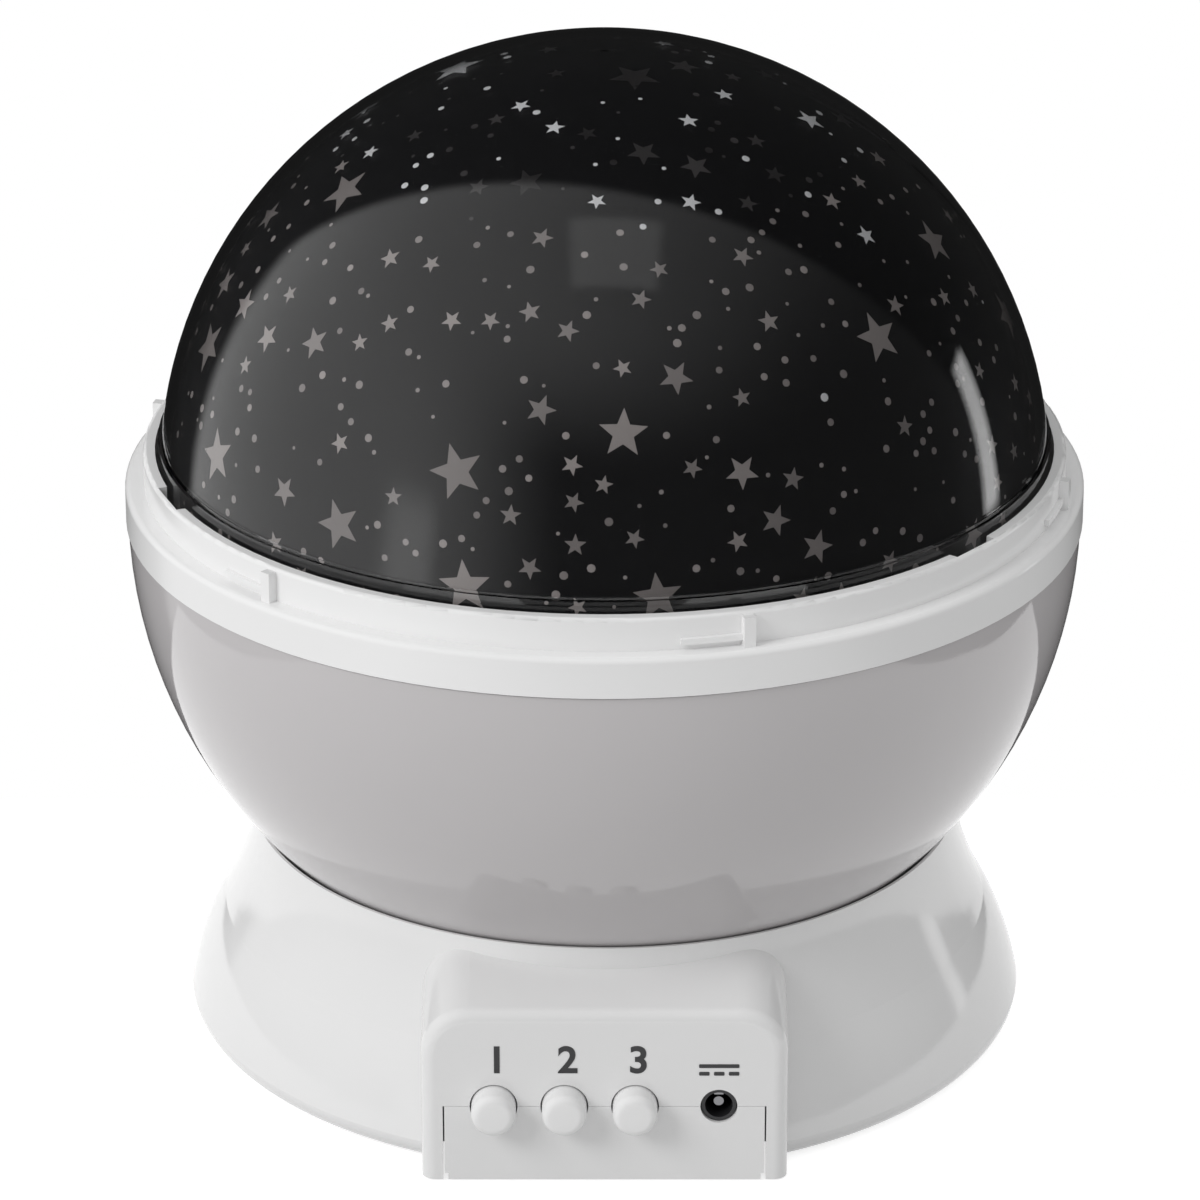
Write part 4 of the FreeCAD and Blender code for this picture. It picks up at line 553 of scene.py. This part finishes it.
bpy.context.view_layer.objects.active = mark
bpy.ops.object.join()
windows = bpy.context.object
windows.name = "star_windows"
for flat in flat_marks.values():
    bpy.data.objects.remove(flat)
curve = windows.modifiers.new("curve", "CAST")
curve.cast_type = "SPHERE"
curve.factor = 1.0
curve.size = FILM_RADIUS + PRINT_LOW
thicken = windows.modifiers.new("thicken", "SOLIDIFY")
thicken.thickness = PRINT_THICK
thicken.offset = 1.0
bpy.ops.object.modifier_apply(modifier="curve")
bpy.ops.object.modifier_apply(modifier="thicken")
windows.data.transform(Matrix.Translation((0, 0, EQUATOR)))
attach(windows, "dome")

star_grey = bpy.data.materials.new("clear_window")
star_grey.use_nodes = True
tree = star_grey.node_tree
shader = tree.nodes["Principled BSDF"]
shader.inputs["Roughness"].default_value = 0.3
tone_and_painted_light = add_node(tree, "ShaderNodeAttribute", attribute_name="tone_and_painted_light")
# The ramp runs from a painted shade, nearly black, through greys to a painted glint, white.
ramp = tree.nodes.new("ShaderNodeValToRGB")
ramp.color_ramp.elements[0].color = PAINTED_SHADE_BLACK
ramp.color_ramp.elements[1].color = PAINTED_GLINT_WHITE
for place, grey in TONES_AND_PAINTED_SHADE:
    ramp.color_ramp.elements.new(place).color = grey
tree.links.new(tone_and_painted_light.outputs["Fac"], ramp.inputs[0])
tree.links.new(ramp.outputs[0], shader.inputs["Base Color"])
windows.data.materials.append(star_grey)

# Panel marks. Plain numerals over the buttons and the sign for direct current over the inlet, one solid
# bar above three dashes, printed in black on the panel.
MARK_LIFT = 0.00003
NUMERAL_HEIGHT = 0.0037
DIGIT_SHARE = 0.69
NUMERAL_BOLD = 0.00011
NUMERAL_SHIFT = 0.00045
NUMERAL_Z = 0.01755
SIGN_HALF = 0.0026
SIGN_LINE = 0.00052
SIGN_SPACE = 0.0011
SIGN_Z = 0.0163
DASH = 0.00135
DASH_STEP = 0.00192
panel_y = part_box("bottom_cover")[0][1]
ink = plastic("black_ink", (0.02, 0.02, 0.022), gloss=0.4, waves=0.0)


def middle_x(node):
    """The middle of a node, from left to right."""
    low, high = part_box(node)
    return (low[0] + high[0]) / 2


def print_on_panel(thing):
    """Makes a mark a mesh with its place in it, in ink."""
    bpy.ops.object.select_all(action="DESELECT")
    thing.select_set(True)
    bpy.context.view_layer.objects.active = thing
    if thing.type == "FONT":
        bpy.ops.object.convert(target="MESH")
    bpy.ops.object.transform_apply(location=True, rotation=True, scale=True)
    thing.data.materials.clear()
    thing.data.materials.append(ink)
    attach(thing, "base")


for number in (1, 2, 3):
    bpy.ops.object.select_all(action="DESELECT")
    place = (middle_x(f"button_cap_{number}") + NUMERAL_SHIFT, panel_y - MARK_LIFT, NUMERAL_Z)
    bpy.ops.object.text_add(location=place, rotation=(math.pi / 2, 0, 0))
    numeral = bpy.context.object
    numeral.name = f"numeral_{number}"
    numeral.data.body = str(number)
    numeral.data.size = NUMERAL_HEIGHT / DIGIT_SHARE
    numeral.data.align_x = "CENTER"
    numeral.data.align_y = "CENTER"
    numeral.data.offset = NUMERAL_BOLD
    numeral.data.extrude = MARK_LIFT
    print_on_panel(numeral)


def printed_bar(name, x, z, length):
    """A printed stroke with its four corners rounded."""
    bpy.ops.object.select_all(action="DESELECT")
    bpy.ops.mesh.primitive_cube_add(size=1.0, location=(x, panel_y - MARK_LIFT, z))
    bar = bpy.context.object
    bar.name = name
    bar.scale = (length, 2 * MARK_LIFT, SIGN_LINE)
    bpy.ops.object.transform_apply(location=True, rotation=True, scale=True)
    bpy.ops.object.mode_set(mode="EDIT")
    bpy.ops.mesh.select_mode(type="EDGE")
    bpy.ops.mesh.select_all(action="DESELECT")
    bpy.ops.object.mode_set(mode="OBJECT")
    points = bar.data.vertices
    for edge in bar.data.edges:
        first, second = (points[number].co for number in edge.vertices)
        edge.select = abs(first.y - second.y) > MARK_LIFT
    bpy.ops.object.mode_set(mode="EDIT")
    bpy.ops.mesh.bevel(offset=SIGN_LINE / 4, segments=3, affect="EDGES")
    bpy.ops.object.mode_set(mode="OBJECT")
    print_on_panel(bar)
    return bar


inlet_x = middle_x("dc_socket")
printed_bar("direct_current_line", inlet_x, SIGN_Z + SIGN_SPACE / 2, 2 * SIGN_HALF)
dash = printed_bar("direct_current_dash_1", inlet_x - DASH_STEP, SIGN_Z - SIGN_SPACE / 2, DASH)
for number in (2, 3):
    copy = copy_along_panel(dash, f"direct_current_dash_{number}", (number - 1) * DASH_STEP)
    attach(copy, "base")
